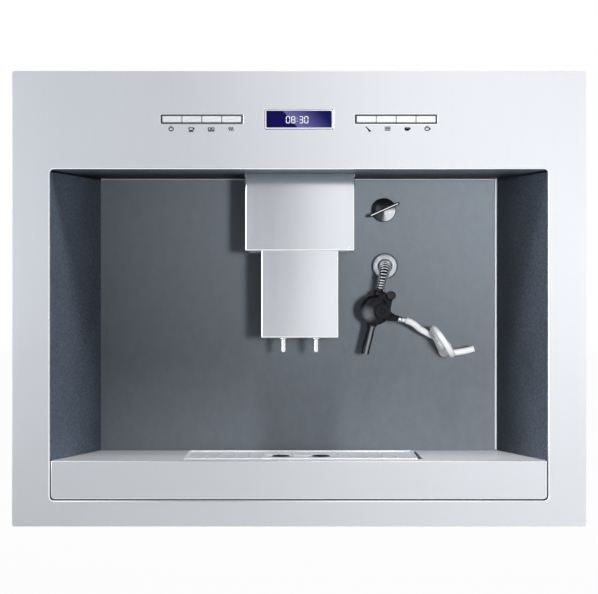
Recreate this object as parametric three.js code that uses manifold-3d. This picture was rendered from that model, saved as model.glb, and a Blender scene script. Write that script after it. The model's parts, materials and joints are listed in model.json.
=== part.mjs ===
// Built-in coffee machine with a steam wand, on pull-out runners.
// Millimetres, +X to the right, +Y into the cabinet, +Z up. While it is drawn, y = 0 is the front
// face of the fascia and z = 0 the cabinet shelf; the last lines centre it front to back.
import * as THREE from "three";
import { mergeVertices } from "three/addons/utils/BufferGeometryUtils.js";
import Module from "manifold-3d";

const wasm = await Module();
wasm.setup();

// Clearances and stock
const seatGap = 0.3; // between pieces that rest on each other
const runGap = 0.5; // between pieces that slide past each other
const sheet = 1.5; // folded steel sheet
const plastic = 2; // moulded walls

// Fascia
const fasciaWidth = 595;
const fasciaHeight = 472;
const fasciaDepth = 20; // folded edge behind the front face
const fasciaSkin = 2;
const fasciaLift = 2; // lower edge above the shelf
const topStrip = 102; // fascia above the opening
const sillHeight = 27; // fascia below the opening
const openingWidth = 516.5;
const openingCorner = 4;

// Casing and the niche for the cups
const bodyDepth = 445; // fascia face to rear panel
const casingDrop = 28; // casing's top below the fascia's top edge
const nicheDepth = 120;
const nicheBackWidth = 438.8;
const deckTop = 70; // floor of the niche above the shelf
const shelfRise = 72; // equipment shelf above the cabinet shelf
const panelLap = 12; // back panel past the niche walls
const ventCount = 7;
const ventPitch = 16;
const ventWidth = 5;
const ventHeight = 90;
const ventDrop = 30; // vents below the casing's top
const sideVentInset = 120; // middle of the side vents before the rear panel

// Base and runners
const baseWidth = 556;
const baseSheet = 2;
const baseSetback = 25; // front edge behind the fascia face
const baseDepth = 405;
const baseWallHeight = 66;
const runnerLength = 400;
const runnerHeight = 46;
const runnerRise = 17; // outer runner above the shelf
const runnerStack = 13.4; // thickness of the three members together
const panRise = 14;

// Controls
const controlDrop = 50; // middle of the controls below the fascia's top edge
const displayWidth = 70.5;
const displayHeight = 20.2;
const keyRowOffset = 100.7; // middle of a key row from the centre line
const keyRowWidth = 84.4;
const keyRowHeight = 8.6;
const keysInRow = 4;
const keyTravel = 1.2;
const keyRecess = 0.4; // key faces behind the fascia face
const keyLip = 1; // shoulder that keeps a key in
const rimWidth = 0.8; // carrier rim round keys and display
const slotCorner = 1;
const carrierMargin = 12; // carrier past the key rows
const carrierHeight = 44;
const carrierSkin = 2.5;
const carrierDepth = 18;
const boardRise = 12.7; // front of the board behind the fascia face
const boardThickness = 1.6;
const switchSize = 6;
const switchHeight = 3.5;
const plungerSize = 3;
const glassLedge = 1.5;

// Coffee head
const headX = 1; // head from the centre line
const hoodWidth = 117;
const hoodHeight = 83;
const hoodSetback = 50;
const carriageWidth = 83;
const carriageSetback = 53.5;
const carriageDepth = 56;
const carriageDrop = 176; // underside of the carriage below the niche's ceiling
const carriageHeight = 149;
const spoutSpacing = 35.2;
const spoutRadius = 2.95;
const spoutBore = 1.9;
const spoutReach = 15.4; // nozzle below the carriage
const spoutSetback = 63;
const spoutFlange = 5;
const spoutLead = 0.8; // chamfer at the tip
const spoutBand = 1; // plain band between the chamfer and the groove
const spoutGroove = 0.6; // depth of the groove, whose two flanks slope
const spoutFlank = 0.4;
const guideInset = 4; // guides above the hood's lower edge

// Steam knob
const knobX = 94;
const knobDrop = 36; // middle of the knob below the niche's ceiling
const knobRadius = 13.2;
const knobThickness = 8;
const knobShaft = 4;
const knobShaftLength = 14;
const gripLength = 36;
const gripWidth = 3.4;
const gripHeight = 7;
const gripTilt = 24; // degrees, rising to the right
const valveRadius = 14;
const valveLength = 42;
const valveStep = 3; // how much the valve's rear part is slimmer

// Steam wand: drawn hanging straight down from its ball, then swung to wandTilt
const wandX = 95;
const wandDrop = 98; // middle of the ball below the niche's ceiling
const wandTilt = 13.5; // degrees, foot to the left
const escutcheonRadius = 14.3;
const escutcheonHeight = 7;
const escutcheonEdge = 2.1; // straight edge before the front slopes in
const escutcheonShoulder = 5.6; // where the slope flattens
const shoulderRadius = 12.155;
const escutcheonFace = 10.01; // radius of the flat front
const ballRadius = 6.7;
const ballReach = 2; // ball's middle in front of the back panel
const pipeSides = 12;
const pipeSteps = 16;
const pipeRadius = 3;
const pipeStub = 8; // straight run before the bend
const pipeBend = 16; // bend radius of the centre line
const pipeDrop = 33; // pipe's lower end below the ball
const springRadius = 4.7; // middle of the wire at the top
const springTaper = 0.9; // how much the spring narrows to its foot
const springWire = 0.7; // wire radius
const springCurls = 13;
const springStart = 10; // along the pipe, from the ball's middle
const springFoot = 27.2; // foot of the spring below the ball

// Frother
const drumRadius = 16.8;
const drumDepth = 20;
const drumDrop = 49.5; // drum's middle below the ball
const neckRadius = 6.5;
const neckDrop = 28.3; // top of the neck below the ball
const capRadius = 8.7;
const capHeight = 4;
const capShift = 7.5; // cap to the right of the drum's middle
const dialRadius = 4.7;
const dialHeight = 8;
const dialShift = 12.9;
const dialDrop = 30.4;
const outletRadius = 4.5;
const outletBore = 3;
const outletLength = 31.2;
const nippleDrop = 53;
const nippleLength = 16.5;
const nippleRadius = 4.2;
const bossReach = 1.5; // bosses past the drum

// Milk hose: a hand-set run, one loose loop seen edge-on, and a free end
const hoseRadius = 3.5;
const hoseSides = 10;
const loopRadius = 16.5;
const loopSpread = 5; // how much wider the loop is where it closes
const loopX = 79.4; // middle of the loop, right of the ball
const loopOut = 27.5; // in front of the back panel
const loopDrop = 66.8;
const loopTilt = 47.6; // degrees, long way of the loop below level
const loopPitch = 8.4; // sideways step of the loop
const loopTurns = [-66, 306]; // degrees round the loop, from its far side
const loopOpensAt = 150; // from here the loop gets wider
const loopPlaces = 18;
const hoseSteps = 44;
const hoseStartRun = [
  [40, 24, -53.3],
  [46, 22.8, -55.2],
  [52, 20.4, -58.2],
  [60, 17, -60.6],
  [68, 13.6, -62.3],
  [75.5, 11.4, -63.9],
];
const hoseEndRun = [
  [89.5, 12, -76.4],
  [94.8, 14.6, -75.2],
  [101, 16.6, -72.8],
  [108, 18, -69.6],
  [115.4, 19, -65.5],
];

// Drawer
const drawerGap = 1.2;
const drawerReturn = 12; // folded edges of the drawer front
const trayWidth = 480;
const trayLength = 258;
const gridX = 2; // grid from the centre line
const gridWidth = 244;
const gridDepth = 90;
const gridSetback = 20;
const gridThickness = 3;
const gridColumns = 14;
const gridPitch = 15.9;
const perforationWidth = 2.4;
const perforationLength = 13;
const perforationRows = 4;
const perforationPitch = 19;
const drainRadius = 8.8;
const drainSpacing = 42.8;
const drainSetback = 55;
const liftSlotWidth = 4; // finger gap at the grid's right end
const basinWall = 4;
const ledge = 3; // basin ledge under the grid
const binWidth = 190;
const binLength = 130;
const binSetback = 126;
const railOffset = 190;
const railWidth = 14;

// Machinery behind the niche
const brewWidth = 110;
const brewDepth = 100;
const brewHeight = 180;
const brewSetback = 140;
const chuteWidth = 55;
const chuteDepth = 50;
const chamberRadius = 27;
const chamberDepth = 90;
const pistonHead = 20;
const pistonRod = 8;
const pistonRodLength = 85;
const grinderSetback = 318; // grinder axis behind the fascia face
const grinderTop = 330; // above the shelf
const grinderRadius = 46;
const motorRadius = 36;
const motorTop = 215; // above the shelf
const burrSeatRadius = 30;
const burrSeatDepth = 40;
const burrRadius = 26;
const burrHeight = 32;
const hopperWidth = 156;
const hopperDepth = 124;
const hopperMouth = 46; // square outlet over the burr
const lidThickness = 3;
const lidLap = 6; // lid past the hopper's mouth
const tankX = -195;
const tankWidth = 110;
const tankDepth = 120;
const tankSetback = 150;
const tankHeadroom = 10.2; // tank's rim below the casing's top
const tankWall = 2.5;
const tankGripWidth = 18;
const boilerX = 170;
const boilerSetback = 205;
const boilerRadius = 45;
const boilerHeight = 150;
const pumpX = 190;
const pumpSetback = 350;
const pumpRadius = 24;
const pumpLength = 90;
const pumpFootDepth = 38.4;
const inletX = 205;
const inletZ = 110;
const inletWidth = 48;
const inletHeight = 28;
const inletDepth = 26;
const pinSize = 3;
const pinPitch = 9.6;

// Worked out from the sizes above
const baseHalf = baseWidth / 2;
const casingHalf = baseHalf - baseSheet - runnerStack - 2 * seatGap;
const openingBottom = fasciaLift + sillHeight;
const openingTop = fasciaLift + fasciaHeight - topStrip;
const openingHalf = openingWidth / 2;
const nicheTop = openingTop;
const knobZ = nicheTop - knobDrop;
const wandZ = nicheTop - wandDrop;
const deckUnderside = deckTop - sheet;
const drawerTop = deckUnderside - seatGap;
const casingTop = fasciaLift + fasciaHeight - casingDrop;
const casingFront = fasciaDepth + seatGap;
const casingBack = bodyDepth - sheet - seatGap;
const shelfTop = shelfRise + sheet;
const standing = shelfTop + seatGap; // feet of what stands on the equipment shelf
const trayBottom = openingBottom + drawerGap + 1;
const controlZ = fasciaLift + fasciaHeight - controlDrop;
const keyPitch = (keyRowWidth - 2 * rimWidth - seatGap) / keysInRow;
const drumOut = pipeStub + pipeBend; // wand's lower run in front of the ball
const degrees = Math.PI / 180;

// ---- Shapes ----

const span = (middle, width) => [middle - width / 2, middle + width / 2];
const run = (start, length) => [start, start + length];

function block(xs, ys, zs) {
  const geometry = new THREE.BoxGeometry(xs[1] - xs[0], ys[1] - ys[0], zs[1] - zs[0]);
  return geometry.translate((xs[0] + xs[1]) / 2, (ys[0] + ys[1]) / 2, (zs[0] + zs[1]) / 2);
}

function roundedOutline(xs, zs, radius) {
  const outline = new THREE.Shape();
  outline.absarc(xs[1] - radius, zs[1] - radius, radius, 0, Math.PI / 2);
  outline.absarc(xs[0] + radius, zs[1] - radius, radius, Math.PI / 2, Math.PI);
  outline.absarc(xs[0] + radius, zs[0] + radius, radius, Math.PI, 1.5 * Math.PI);
  outline.absarc(xs[1] - radius, zs[0] + radius, radius, 1.5 * Math.PI, 2 * Math.PI);
  return outline;
}

// A plate with rounded corners that faces the user.
function roundedBlock(xs, ys, zs, radius) {
  const settings = { depth: ys[1] - ys[0], bevelEnabled: false, curveSegments: 4 };
  const geometry = new THREE.ExtrudeGeometry(roundedOutline(xs, zs, radius), settings);
  return geometry.rotateX(Math.PI / 2).translate(0, ys[1], 0);
}

// A solid with a plan of corner points.
function planBlock(corners, zs) {
  const outline = new THREE.Shape(corners.map(([x, y]) => new THREE.Vector2(x, y)));
  const geometry = new THREE.ExtrudeGeometry(outline, { depth: zs[1] - zs[0], bevelEnabled: false });
  return geometry.translate(0, 0, zs[0]);
}

// Turned pieces: a profile of [radius, height] points, along +Z, out of the fascia (-Y) or along +X.
function turned(profile, sides = 28) {
  return new THREE.LatheGeometry(profile.map(([r, h]) => new THREE.Vector2(r, h)), sides);
}
const turnedUp = (profile, x, y, z, sides) =>
  turned(profile, sides).rotateX(Math.PI / 2).translate(x, y, z);
const turnedOut = (profile, x, y, z, sides) =>
  turned(profile, sides).rotateX(Math.PI).translate(x, y, z);
const turnedRight = (profile, x, y, z, sides) =>
  turned(profile, sides).rotateZ(-Math.PI / 2).translate(x, y, z);
const rod = (radius, length) => [[0, 0], [radius, 0], [radius, length], [0, length]];

function ringOutline(radius, sides) {
  const corners = Array.from({ length: sides }, (_, i) => {
    const angle = (i / sides) * 2 * Math.PI;
    return new THREE.Vector2(radius * Math.cos(angle), radius * Math.sin(angle));
  });
  return new THREE.Shape(corners);
}

function tubeAlong(path, radius, sides, steps) {
  return new THREE.ExtrudeGeometry(ringOutline(radius, sides), {
    steps,
    extrudePath: path,
    bevelEnabled: false,
  });
}

// ---- Joining and cutting ----

const weld = 1e-4;

function solid(shape) {
  if (!shape.isBufferGeometry) return shape;
  const bare = shape.clone();
  bare.deleteAttribute("normal");
  bare.deleteAttribute("uv");
  const merged = mergeVertices(bare, weld);
  const corners = new Uint32Array(merged.index.array);
  const vertProperties = merged.attributes.position.array;
  const made = new wasm.Manifold(new wasm.Mesh({ numProp: 3, vertProperties, triVerts: corners }));
  if (made.volume() > 0) return made;
  const turnedRound = corners.reverse();
  return new wasm.Manifold(new wasm.Mesh({ numProp: 3, vertProperties, triVerts: turnedRound }));
}

const join = (...shapes) => shapes.map(solid).reduce((whole, shape) => whole.add(shape));
const cut = (base, ...tools) => tools.reduce((left, tool) => left.subtract(solid(tool)), solid(base));
const common = (a, b) => solid(a).intersect(solid(b));

function geometryOf(shape) {
  const mesh = solid(shape).getMesh();
  const places = new Float32Array(mesh.numVert * 3);
  for (let i = 0; i < mesh.numVert; i += 1) {
    const start = i * mesh.numProp;
    places.set(mesh.vertProperties.subarray(start, start + 3), i * 3);
  }
  const geometry = new THREE.BufferGeometry();
  geometry.setAttribute("position", new THREE.BufferAttribute(places, 3));
  geometry.setIndex(new THREE.BufferAttribute(mesh.triVerts, 1));
  geometry.computeVertexNormals();
  return geometry;
}

// ---- Finishes ----

const finishes = {
  satinSteel: { color: 0xd6dadd, roughness: 0.38, metalness: 0.9 },
  zincSheet: { color: 0xa3a7aa, roughness: 0.5, metalness: 0.8 },
  darkLiner: { color: 0x3a4048, roughness: 0.6, metalness: 0.1 },
  backSheet: { color: 0x767e86, roughness: 0.45, metalness: 0.5 },
  chrome: { color: 0xe4e7ea, roughness: 0.08, metalness: 1 },
  blackGloss: { color: 0x0d0e10, roughness: 0.15, metalness: 0 },
  blackPlastic: { color: 0x1b1c1e, roughness: 0.5, metalness: 0 },
  greyPlastic: { color: 0x6c7075, roughness: 0.55, metalness: 0 },
  silverKey: { color: 0xd9dcdf, roughness: 0.4, metalness: 0.4 },
  displayGlass: { color: 0x12124b, roughness: 0.08, metalness: 0 },
  circuitBoard: { color: 0x1f5a35, roughness: 0.6, metalness: 0 },
  clearPlastic: { color: 0xb9c4c9, roughness: 0.15, metalness: 0 },
  brass: { color: 0xb5924f, roughness: 0.35, metalness: 1 },
  silicone: { color: 0xf1f2f2, roughness: 0.45, metalness: 0 },
};

function piece(group, name, shape, finish) {
  const material = new THREE.MeshStandardMaterial(finishes[finish]);
  const mesh = new THREE.Mesh(geometryOf(shape), material);
  mesh.name = name;
  group.add(mesh);
  return mesh;
}

const sides = [["left", -1], ["right", 1]];
const ordered = (a, b) => [Math.min(a, b), Math.max(a, b)];

// ---- Base plate and runners ----

// A channel whose web is at webX and whose lips reach to lipX.
function channel(webX, lipX, zs) {
  const way = Math.sign(lipX - webX);
  const ys = run(baseSetback, runnerLength);
  const hollow = block(
    ordered(webX + way * sheet, lipX + way),
    [ys[0] - 1, ys[1] + 1],
    [zs[0] + sheet, zs[1] - sheet],
  );
  return cut(block(ordered(webX, lipX), ys, zs), hollow);
}

function addBase(group) {
  const plate = block([-baseHalf, baseHalf], run(baseSetback, baseDepth), [0, baseSheet]);
  const walls = sides.map(([, side]) => {
    const xs = ordered(side * baseHalf, side * (baseHalf - baseSheet));
    return block(xs, run(baseSetback, baseDepth), [0, baseWallHeight]);
  });
  piece(group, "base_plate", join(plate, ...walls), "zincSheet");
  const nest = sheet + runGap; // each member lies inside the next by this much
  const outerZs = run(runnerRise, runnerHeight);
  const middleZs = [outerZs[0] + nest, outerZs[1] - nest];
  const innerZs = [middleZs[0] + nest, middleZs[1] - nest];
  const outerWeb = baseHalf - baseSheet - seatGap;
  const innerWeb = casingHalf + seatGap;
  const middleWeb = outerWeb - nest;
  const nearInner = innerWeb + nest;
  for (const [name, side] of sides) {
    const outer = channel(side * outerWeb, side * (nearInner + nest), outerZs);
    const middle = channel(side * middleWeb, side * nearInner, middleZs);
    const inner = channel(side * innerWeb, side * (middleWeb - nest), innerZs);
    piece(group, `runner_outer_${name}`, outer, "zincSheet");
    piece(group, `runner_middle_${name}`, middle, "zincSheet");
    piece(group, `runner_inner_${name}`, inner, "zincSheet");
  }
}

// ---- Chassis and casing ----

function ventSlots(slotAt) {
  const first = (-(ventCount - 1) * ventPitch) / 2;
  return Array.from({ length: ventCount }, (_, i) => slotAt(first + i * ventPitch));
}

function addCasing(group) {
  const panZs = [panRise, baseWallHeight];
  const inside = casingHalf - sheet;
  const floor = panRise + sheet;
  const trough = block([-inside, inside], [casingFront - 1, casingBack + 1], [floor, baseWallHeight + 1]);
  const rails = sides.map(([, side]) => {
    const xs = span(side * railOffset, railWidth);
    return block(xs, [casingFront, casingBack], [floor - sheet / 2, trayBottom - seatGap]);
  });
  const pan = cut(block([-casingHalf, casingHalf], [casingFront, casingBack], panZs), trough);
  piece(group, "chassis_pan", join(pan, ...rails), "zincSheet");

  const sideZs = [baseWallHeight + seatGap, casingTop];
  const ventZs = [casingTop - ventDrop - ventHeight, casingTop - ventDrop];
  for (const [name, side] of sides) {
    const xs = ordered(side * casingHalf, side * inside);
    const slots = ventSlots((shift) =>
      block(span(side * casingHalf, 4 * sheet), span(bodyDepth - sideVentInset + shift, ventWidth), ventZs),
    );
    const panel = block(xs, [casingFront, casingBack], sideZs);
    piece(group, `side_panel_${name}`, cut(panel, ...slots), "zincSheet");
  }

  const rearYs = [bodyDepth - sheet, bodyDepth];
  const inletHole = block(
    span(inletX, inletWidth + 2 * seatGap),
    [rearYs[0] - 1, rearYs[1] + 1],
    span(inletZ, inletHeight + 2 * seatGap),
  );
  const rearSlots = ventSlots((shift) =>
    block(span(shift, ventWidth), [rearYs[0] - 1, rearYs[1] + 1], ventZs),
  );
  const rear = block([-casingHalf, casingHalf], rearYs, [panRise, casingTop]);
  piece(group, "rear_panel", cut(rear, inletHole, ...rearSlots), "zincSheet");

  const reach = inside - seatGap;
  const topZs = [casingTop - sheet, casingTop];
  const through = [topZs[0] - 1, topZs[1] + 1];
  const hopperHole = block(
    span(0, hopperWidth - 2 * plastic),
    span(grinderSetback, hopperDepth - 2 * plastic),
    through,
  );
  const tankHole = block(
    span(tankX, tankWidth + 2 * plastic),
    span(tankSetback + tankDepth / 2, tankDepth + 2 * plastic),
    through,
  );
  const top = block([-reach, reach], [casingFront, casingBack], topZs);
  piece(group, "top_panel", cut(top, hopperHole, tankHole), "zincSheet");

  const chuteYs = span(brewSetback + brewDepth / 2, chuteDepth);
  const chute = block(span(0, chuteWidth), chuteYs, [0, casingTop]);
  const shelfYs = [nicheDepth + sheet + seatGap, casingBack];
  const shelf = cut(block([-reach, reach], shelfYs, [shelfRise, shelfTop]), chute);
  piece(group, "equipment_shelf", shelf, "zincSheet");
}

// ---- Fascia and controls ----

const keyRows = sides.map(([name, side]) => [name, side * keyRowOffset]);

function addFascia(group) {
  const zs = run(fasciaLift, fasciaHeight);
  const through = [-1, fasciaSkin + 1];
  const whole = block(span(0, fasciaWidth), [0, fasciaDepth], zs);
  const behind = block(
    span(0, fasciaWidth - 2 * fasciaSkin),
    [fasciaSkin, fasciaDepth + 1],
    [zs[0] + fasciaSkin, zs[1] - fasciaSkin],
  );
  const opening = roundedBlock(span(0, openingWidth), through, [openingBottom, openingTop], openingCorner);
  const clear = 2 * seatGap;
  const windows = [
    roundedBlock(span(0, displayWidth + clear), through, span(controlZ, displayHeight + clear), slotCorner),
    ...keyRows.map(([, x]) =>
      roundedBlock(span(x, keyRowWidth + clear), through, span(controlZ, keyRowHeight + clear), slotCorner),
    ),
  ];
  piece(group, "fascia", cut(whole, behind, opening, ...windows), "satinSteel");
}

function addCarrier(group) {
  const front = fasciaSkin + seatGap;
  const back = front + carrierSkin;
  const halfWidth = keyRowOffset + keyRowWidth / 2 + carrierMargin;
  const outer = block([-halfWidth, halfWidth], [front, carrierDepth], span(controlZ, carrierHeight));
  const insideHalf = halfWidth - plastic;
  const insideHeight = carrierHeight - 2 * plastic;
  const inner = block([-insideHalf, insideHalf], [back, carrierDepth + 1], span(controlZ, insideHeight));
  const rimYs = [seatGap, front + 1];
  const rimAt = (x, width, height) => roundedBlock(span(x, width), rimYs, span(controlZ, height), slotCorner);
  const openAt = (x, width, height, ys) => block(span(x, width), ys, span(controlZ, height));
  const rims = [
    rimAt(0, displayWidth, displayHeight),
    ...keyRows.map(([, x]) => rimAt(x, keyRowWidth, keyRowHeight)),
  ];
  const through = [-1, back + 1];
  const glassWidth = displayWidth - 2 * rimWidth;
  const glassHeight = displayHeight - 2 * rimWidth;
  const holes = [
    openAt(0, glassWidth, glassHeight, [-1, front]),
    openAt(0, glassWidth - 2 * glassLedge, glassHeight - 2 * glassLedge, through),
    ...keyRows.map(([, x]) => openAt(x, keyRowWidth - 2 * rimWidth, keyRowHeight - 2 * rimWidth, through)),
  ];
  const postInset = switchSize;
  const posts = [-1, 1].flatMap((sideX) =>
    [-1, 1].map((sideZ) =>
      block(
        span(sideX * (insideHalf - postInset), switchSize),
        [back - 1, boardRise - seatGap],
        span(controlZ + sideZ * (insideHeight / 2 - postInset), switchSize),
      ),
    ),
  );
  const rimmed = join(cut(outer, inner), ...rims);
  piece(group, "control_carrier", join(cut(rimmed, ...holes), ...posts), "greyPlastic");

  const paneYs = [keyRecess, front - seatGap];
  const pane = block(span(0, glassWidth - 2 * seatGap), paneYs, span(controlZ, glassHeight - 2 * seatGap));
  piece(group, "display_window", pane, "displayGlass");

  const board = block(
    span(0, 2 * (insideHalf - seatGap)),
    run(boardRise, boardThickness),
    span(controlZ, insideHeight - 2 * seatGap),
  );
  const screen = openAt(
    0,
    glassWidth - 2 * glassLedge - 2 * seatGap,
    glassHeight - 2 * glassLedge - 2 * seatGap,
    [front, boardRise + boardThickness / 2],
  );
  const switchYs = [boardRise - switchHeight, boardRise + boardThickness / 2];
  const switches = keyPlaces().map(({ x }) =>
    block(span(x, switchSize), switchYs, span(controlZ, switchSize)),
  );
  piece(group, "control_board", join(board, screen, ...switches), "circuitBoard");
}

function keyPlaces() {
  return keyRows.flatMap(([row, middle]) =>
    Array.from({ length: keysInRow }, (_, i) => ({
      name: `key_${row}_${i + 1}`,
      x: middle + (i - (keysInRow - 1) / 2) * keyPitch,
    })),
  );
}

function addKeys(group) {
  const carrierBack = fasciaSkin + seatGap + carrierSkin;
  const faceHeight = keyRowHeight - 2 * rimWidth - 2 * seatGap;
  const shoulderHeight = faceHeight + 2 * keyLip + seatGap;
  const shoulderYs = run(carrierBack + seatGap, keyLip);
  const plungerEnd = boardRise - switchHeight - keyTravel - seatGap;
  for (const { name, x } of keyPlaces()) {
    const face = block(span(x, keyPitch - seatGap), [keyRecess, shoulderYs[1]], span(controlZ, faceHeight));
    const shoulder = block(span(x, keyPitch - seatGap), shoulderYs, span(controlZ, shoulderHeight));
    const plunger = block(span(x, plungerSize), [shoulderYs[0], plungerEnd], span(controlZ, plungerSize));
    piece(group, name, join(face, shoulder, plunger), "silverKey");
  }
}

// ---- Niche ----

// Half the niche's width at a depth behind the fascia face, for its inner faces.
const nicheHalf = (y) => openingHalf + ((nicheBackWidth / 2 - openingHalf) * y) / nicheDepth;

function nichePlan(ys, outwards) {
  const [front, back] = ys;
  return [
    [-nicheHalf(front) - outwards, front],
    [nicheHalf(front) + outwards, front],
    [nicheHalf(back) + outwards, back],
    [-nicheHalf(back) - outwards, back],
  ];
}

function addNiche(group) {
  const ys = [fasciaSkin + seatGap, nicheDepth - seatGap];
  const outer = planBlock(nichePlan(ys, sheet), [deckTop + runGap, nicheTop + sheet]);
  const inner = planBlock(nichePlan([ys[0] - 1, ys[1] + 1], 0), [deckTop - 1, nicheTop]);
  piece(group, "niche_liner", cut(outer, inner), "darkLiner");

  const panelYs = run(nicheDepth, sheet);
  const through = [panelYs[0] - 1, panelYs[1] + 1];
  const panel = block(
    span(0, nicheBackWidth + 2 * panelLap),
    panelYs,
    [deckUnderside + seatGap, nicheTop + panelLap],
  );
  const shaftHole = turnedOut(rod(knobShaft + seatGap, 3 * sheet), knobX, panelYs[1] + sheet, knobZ);
  const wandHole = turnedOut(rod(ballRadius + seatGap, 3 * sheet), wandX, panelYs[1] + sheet, wandZ);
  const coffeeZs = span(nicheTop - hoodHeight / 2, hoodHeight / 4);
  const coffeeHole = block(span(headX, spoutSpacing), through, coffeeZs);
  piece(group, "niche_back_panel", cut(panel, shaftHole, wandHole, coffeeHole), "backSheet");
}

// ---- Coffee head ----

function addHead(group) {
  const ys = [hoodSetback, nicheDepth - seatGap];
  const zs = [nicheTop - hoodHeight, nicheTop - seatGap];
  const insideYs = [ys[0] + sheet, ys[1] - sheet];
  const shell = block(span(headX, hoodWidth), ys, zs);
  const room = block(span(headX, hoodWidth - 2 * sheet), insideYs, [zs[0] - 1, zs[1] - sheet]);
  const guideZs = [zs[0] + guideInset, zs[1] - sheet / 2];
  const carriageYs = run(carriageSetback, carriageDepth);
  const guides = sides.map(([, side]) => {
    const near = headX + side * (carriageWidth / 2 + seatGap);
    const far = headX + side * (hoodWidth / 2 - sheet / 2);
    return block(ordered(near, far), [carriageYs[0] + sheet, carriageYs[1]], guideZs);
  });
  const backGuide = block(
    span(headX, carriageWidth / 2),
    [carriageYs[1] + seatGap, ys[1] - sheet / 2],
    guideZs,
  );
  const coffeeHole = block(
    span(headX, spoutSpacing / 2),
    [carriageYs[1], ys[1] + 1],
    span(nicheTop - hoodHeight / 2, hoodHeight / 8),
  );
  piece(group, "spout_hood", cut(join(cut(shell, room), ...guides, backGuide), coffeeHole), "satinSteel");

  const boxZs = run(nicheTop - carriageDrop, carriageHeight);
  const box = block(span(headX, carriageWidth), carriageYs, boxZs);
  const hollow = block(
    span(headX, carriageWidth - 2 * sheet),
    [carriageYs[0] + sheet, carriageYs[1] - sheet],
    [boxZs[0] + plastic, boxZs[1] + 1],
  );
  const spoutXs = sides.map(([name, side]) => [name, headX + (side * spoutSpacing) / 2]);
  const holes = spoutXs.map(([, x]) =>
    turnedUp(rod(spoutRadius + seatGap, 3 * plastic), x, spoutSetback, boxZs[0] - plastic),
  );
  piece(group, "spout_carriage", cut(box, hollow, ...holes), "satinSteel");

  const seat = spoutReach + plastic + seatGap;
  const groove = spoutRadius - spoutGroove;
  const bandTop = spoutLead + spoutBand;
  const nozzle = [
    [spoutBore, 0],
    [groove, 0],
    [spoutRadius, spoutLead],
    [spoutRadius, bandTop],
    [groove, bandTop + spoutFlank],
    [spoutRadius, bandTop + 2 * spoutFlank],
    [spoutRadius, seat],
    [spoutFlange, seat],
    [spoutFlange, seat + plastic],
    [spoutBore, seat + plastic],
    [spoutBore, 0],
  ];
  for (const [name, x] of spoutXs) {
    piece(group, `spout_${name}`, turnedUp(nozzle, x, spoutSetback, boxZs[0] - spoutReach, 20), "chrome");
  }
}

// ---- Steam knob ----

function addSteamKnob(group) {
  const seatY = nicheDepth - seatGap;
  const edge = 1.2;
  const knob = [
    [0, -knobShaftLength],
    [knobShaft, -knobShaftLength],
    [knobShaft, 0],
    [knobRadius, 0],
    [knobRadius, knobThickness - edge],
    [knobRadius - edge, knobThickness],
    [0, knobThickness],
  ];
  piece(group, "steam_knob", turnedOut(knob, knobX, seatY, knobZ, 32), "blackGloss");

  const bar = block(span(0, gripLength), [-gripHeight, 0], span(0, gripWidth));
  const grip = piece(group, "knob_grip", bar, "blackGloss");
  grip.position.set(knobX, seatY - knobThickness - seatGap, knobZ);
  grip.rotation.y = -gripTilt * degrees;

  const valveY = nicheDepth + sheet + seatGap;
  const bore = knobShaft + seatGap;
  const boreEnd = valveY - seatY - knobShaftLength - seatGap;
  const valve = [
    [0, -valveLength],
    [valveRadius - valveStep, -valveLength],
    [valveRadius - valveStep, -valveLength / 4],
    [valveRadius, -valveLength / 4],
    [valveRadius, 0],
    [bore, 0],
    [bore, boreEnd],
    [0, boreEnd],
  ];
  piece(group, "steam_valve", turnedOut(valve, knobX, valveY, knobZ), "brass");
}

// ---- Steam wand ----

// The pipe's centre line by distance from the ball: out, round the bend, and down.
class WandLine extends THREE.Curve {
  constructor(start, end) {
    super();
    this.start = start;
    this.end = end;
  }

  static at(distance) {
    const bendLength = (pipeBend * Math.PI) / 2;
    const along = distance - pipeStub;
    if (along <= 0) return new THREE.Vector3(0, -distance, 0);
    if (along >= bendLength) return new THREE.Vector3(0, -drumOut, -pipeBend - (along - bendLength));
    const angle = along / pipeBend;
    const drop = pipeBend * (1 - Math.cos(angle));
    return new THREE.Vector3(0, -pipeStub - pipeBend * Math.sin(angle), -drop);
  }

  static lengthTo(drop) {
    return pipeStub + (pipeBend * Math.PI) / 2 + drop - pipeBend;
  }

  getPoint(t, target = new THREE.Vector3()) {
    return target.copy(WandLine.at(this.start + (this.end - this.start) * t));
  }
}

const curlSteps = 8;
const wireSides = 5;

// One unbroken wire wound round the pipe, a little narrower at its foot.
function springPoints() {
  const end = WandLine.lengthTo(springFoot);
  const steps = springCurls * curlSteps;
  const across = new THREE.Vector3(1, 0, 0);
  const nudge = 0.01;
  return Array.from({ length: steps + 1 }, (_, i) => {
    const share = i / steps;
    const distance = springStart + (end - springStart) * share;
    const middle = WandLine.at(distance);
    const along = WandLine.at(distance + nudge).sub(WandLine.at(distance - nudge)).normalize();
    const side = new THREE.Vector3().crossVectors(along, across);
    const angle = (i / curlSteps) * 2 * Math.PI;
    const out = across.clone().multiplyScalar(Math.cos(angle)).addScaledVector(side, Math.sin(angle));
    const radius = springRadius - springTaper * share;
    return { out, place: middle.clone().addScaledVector(out, radius) };
  });
}

function leastGap(points, wireRadius) {
  let least = Infinity;
  points.forEach(({ place }, i) => {
    points.slice(i + curlSteps / 2 + 1).forEach((other) => {
      least = Math.min(least, place.distanceTo(other.place) - 2 * wireRadius);
    });
  });
  return least;
}

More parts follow.
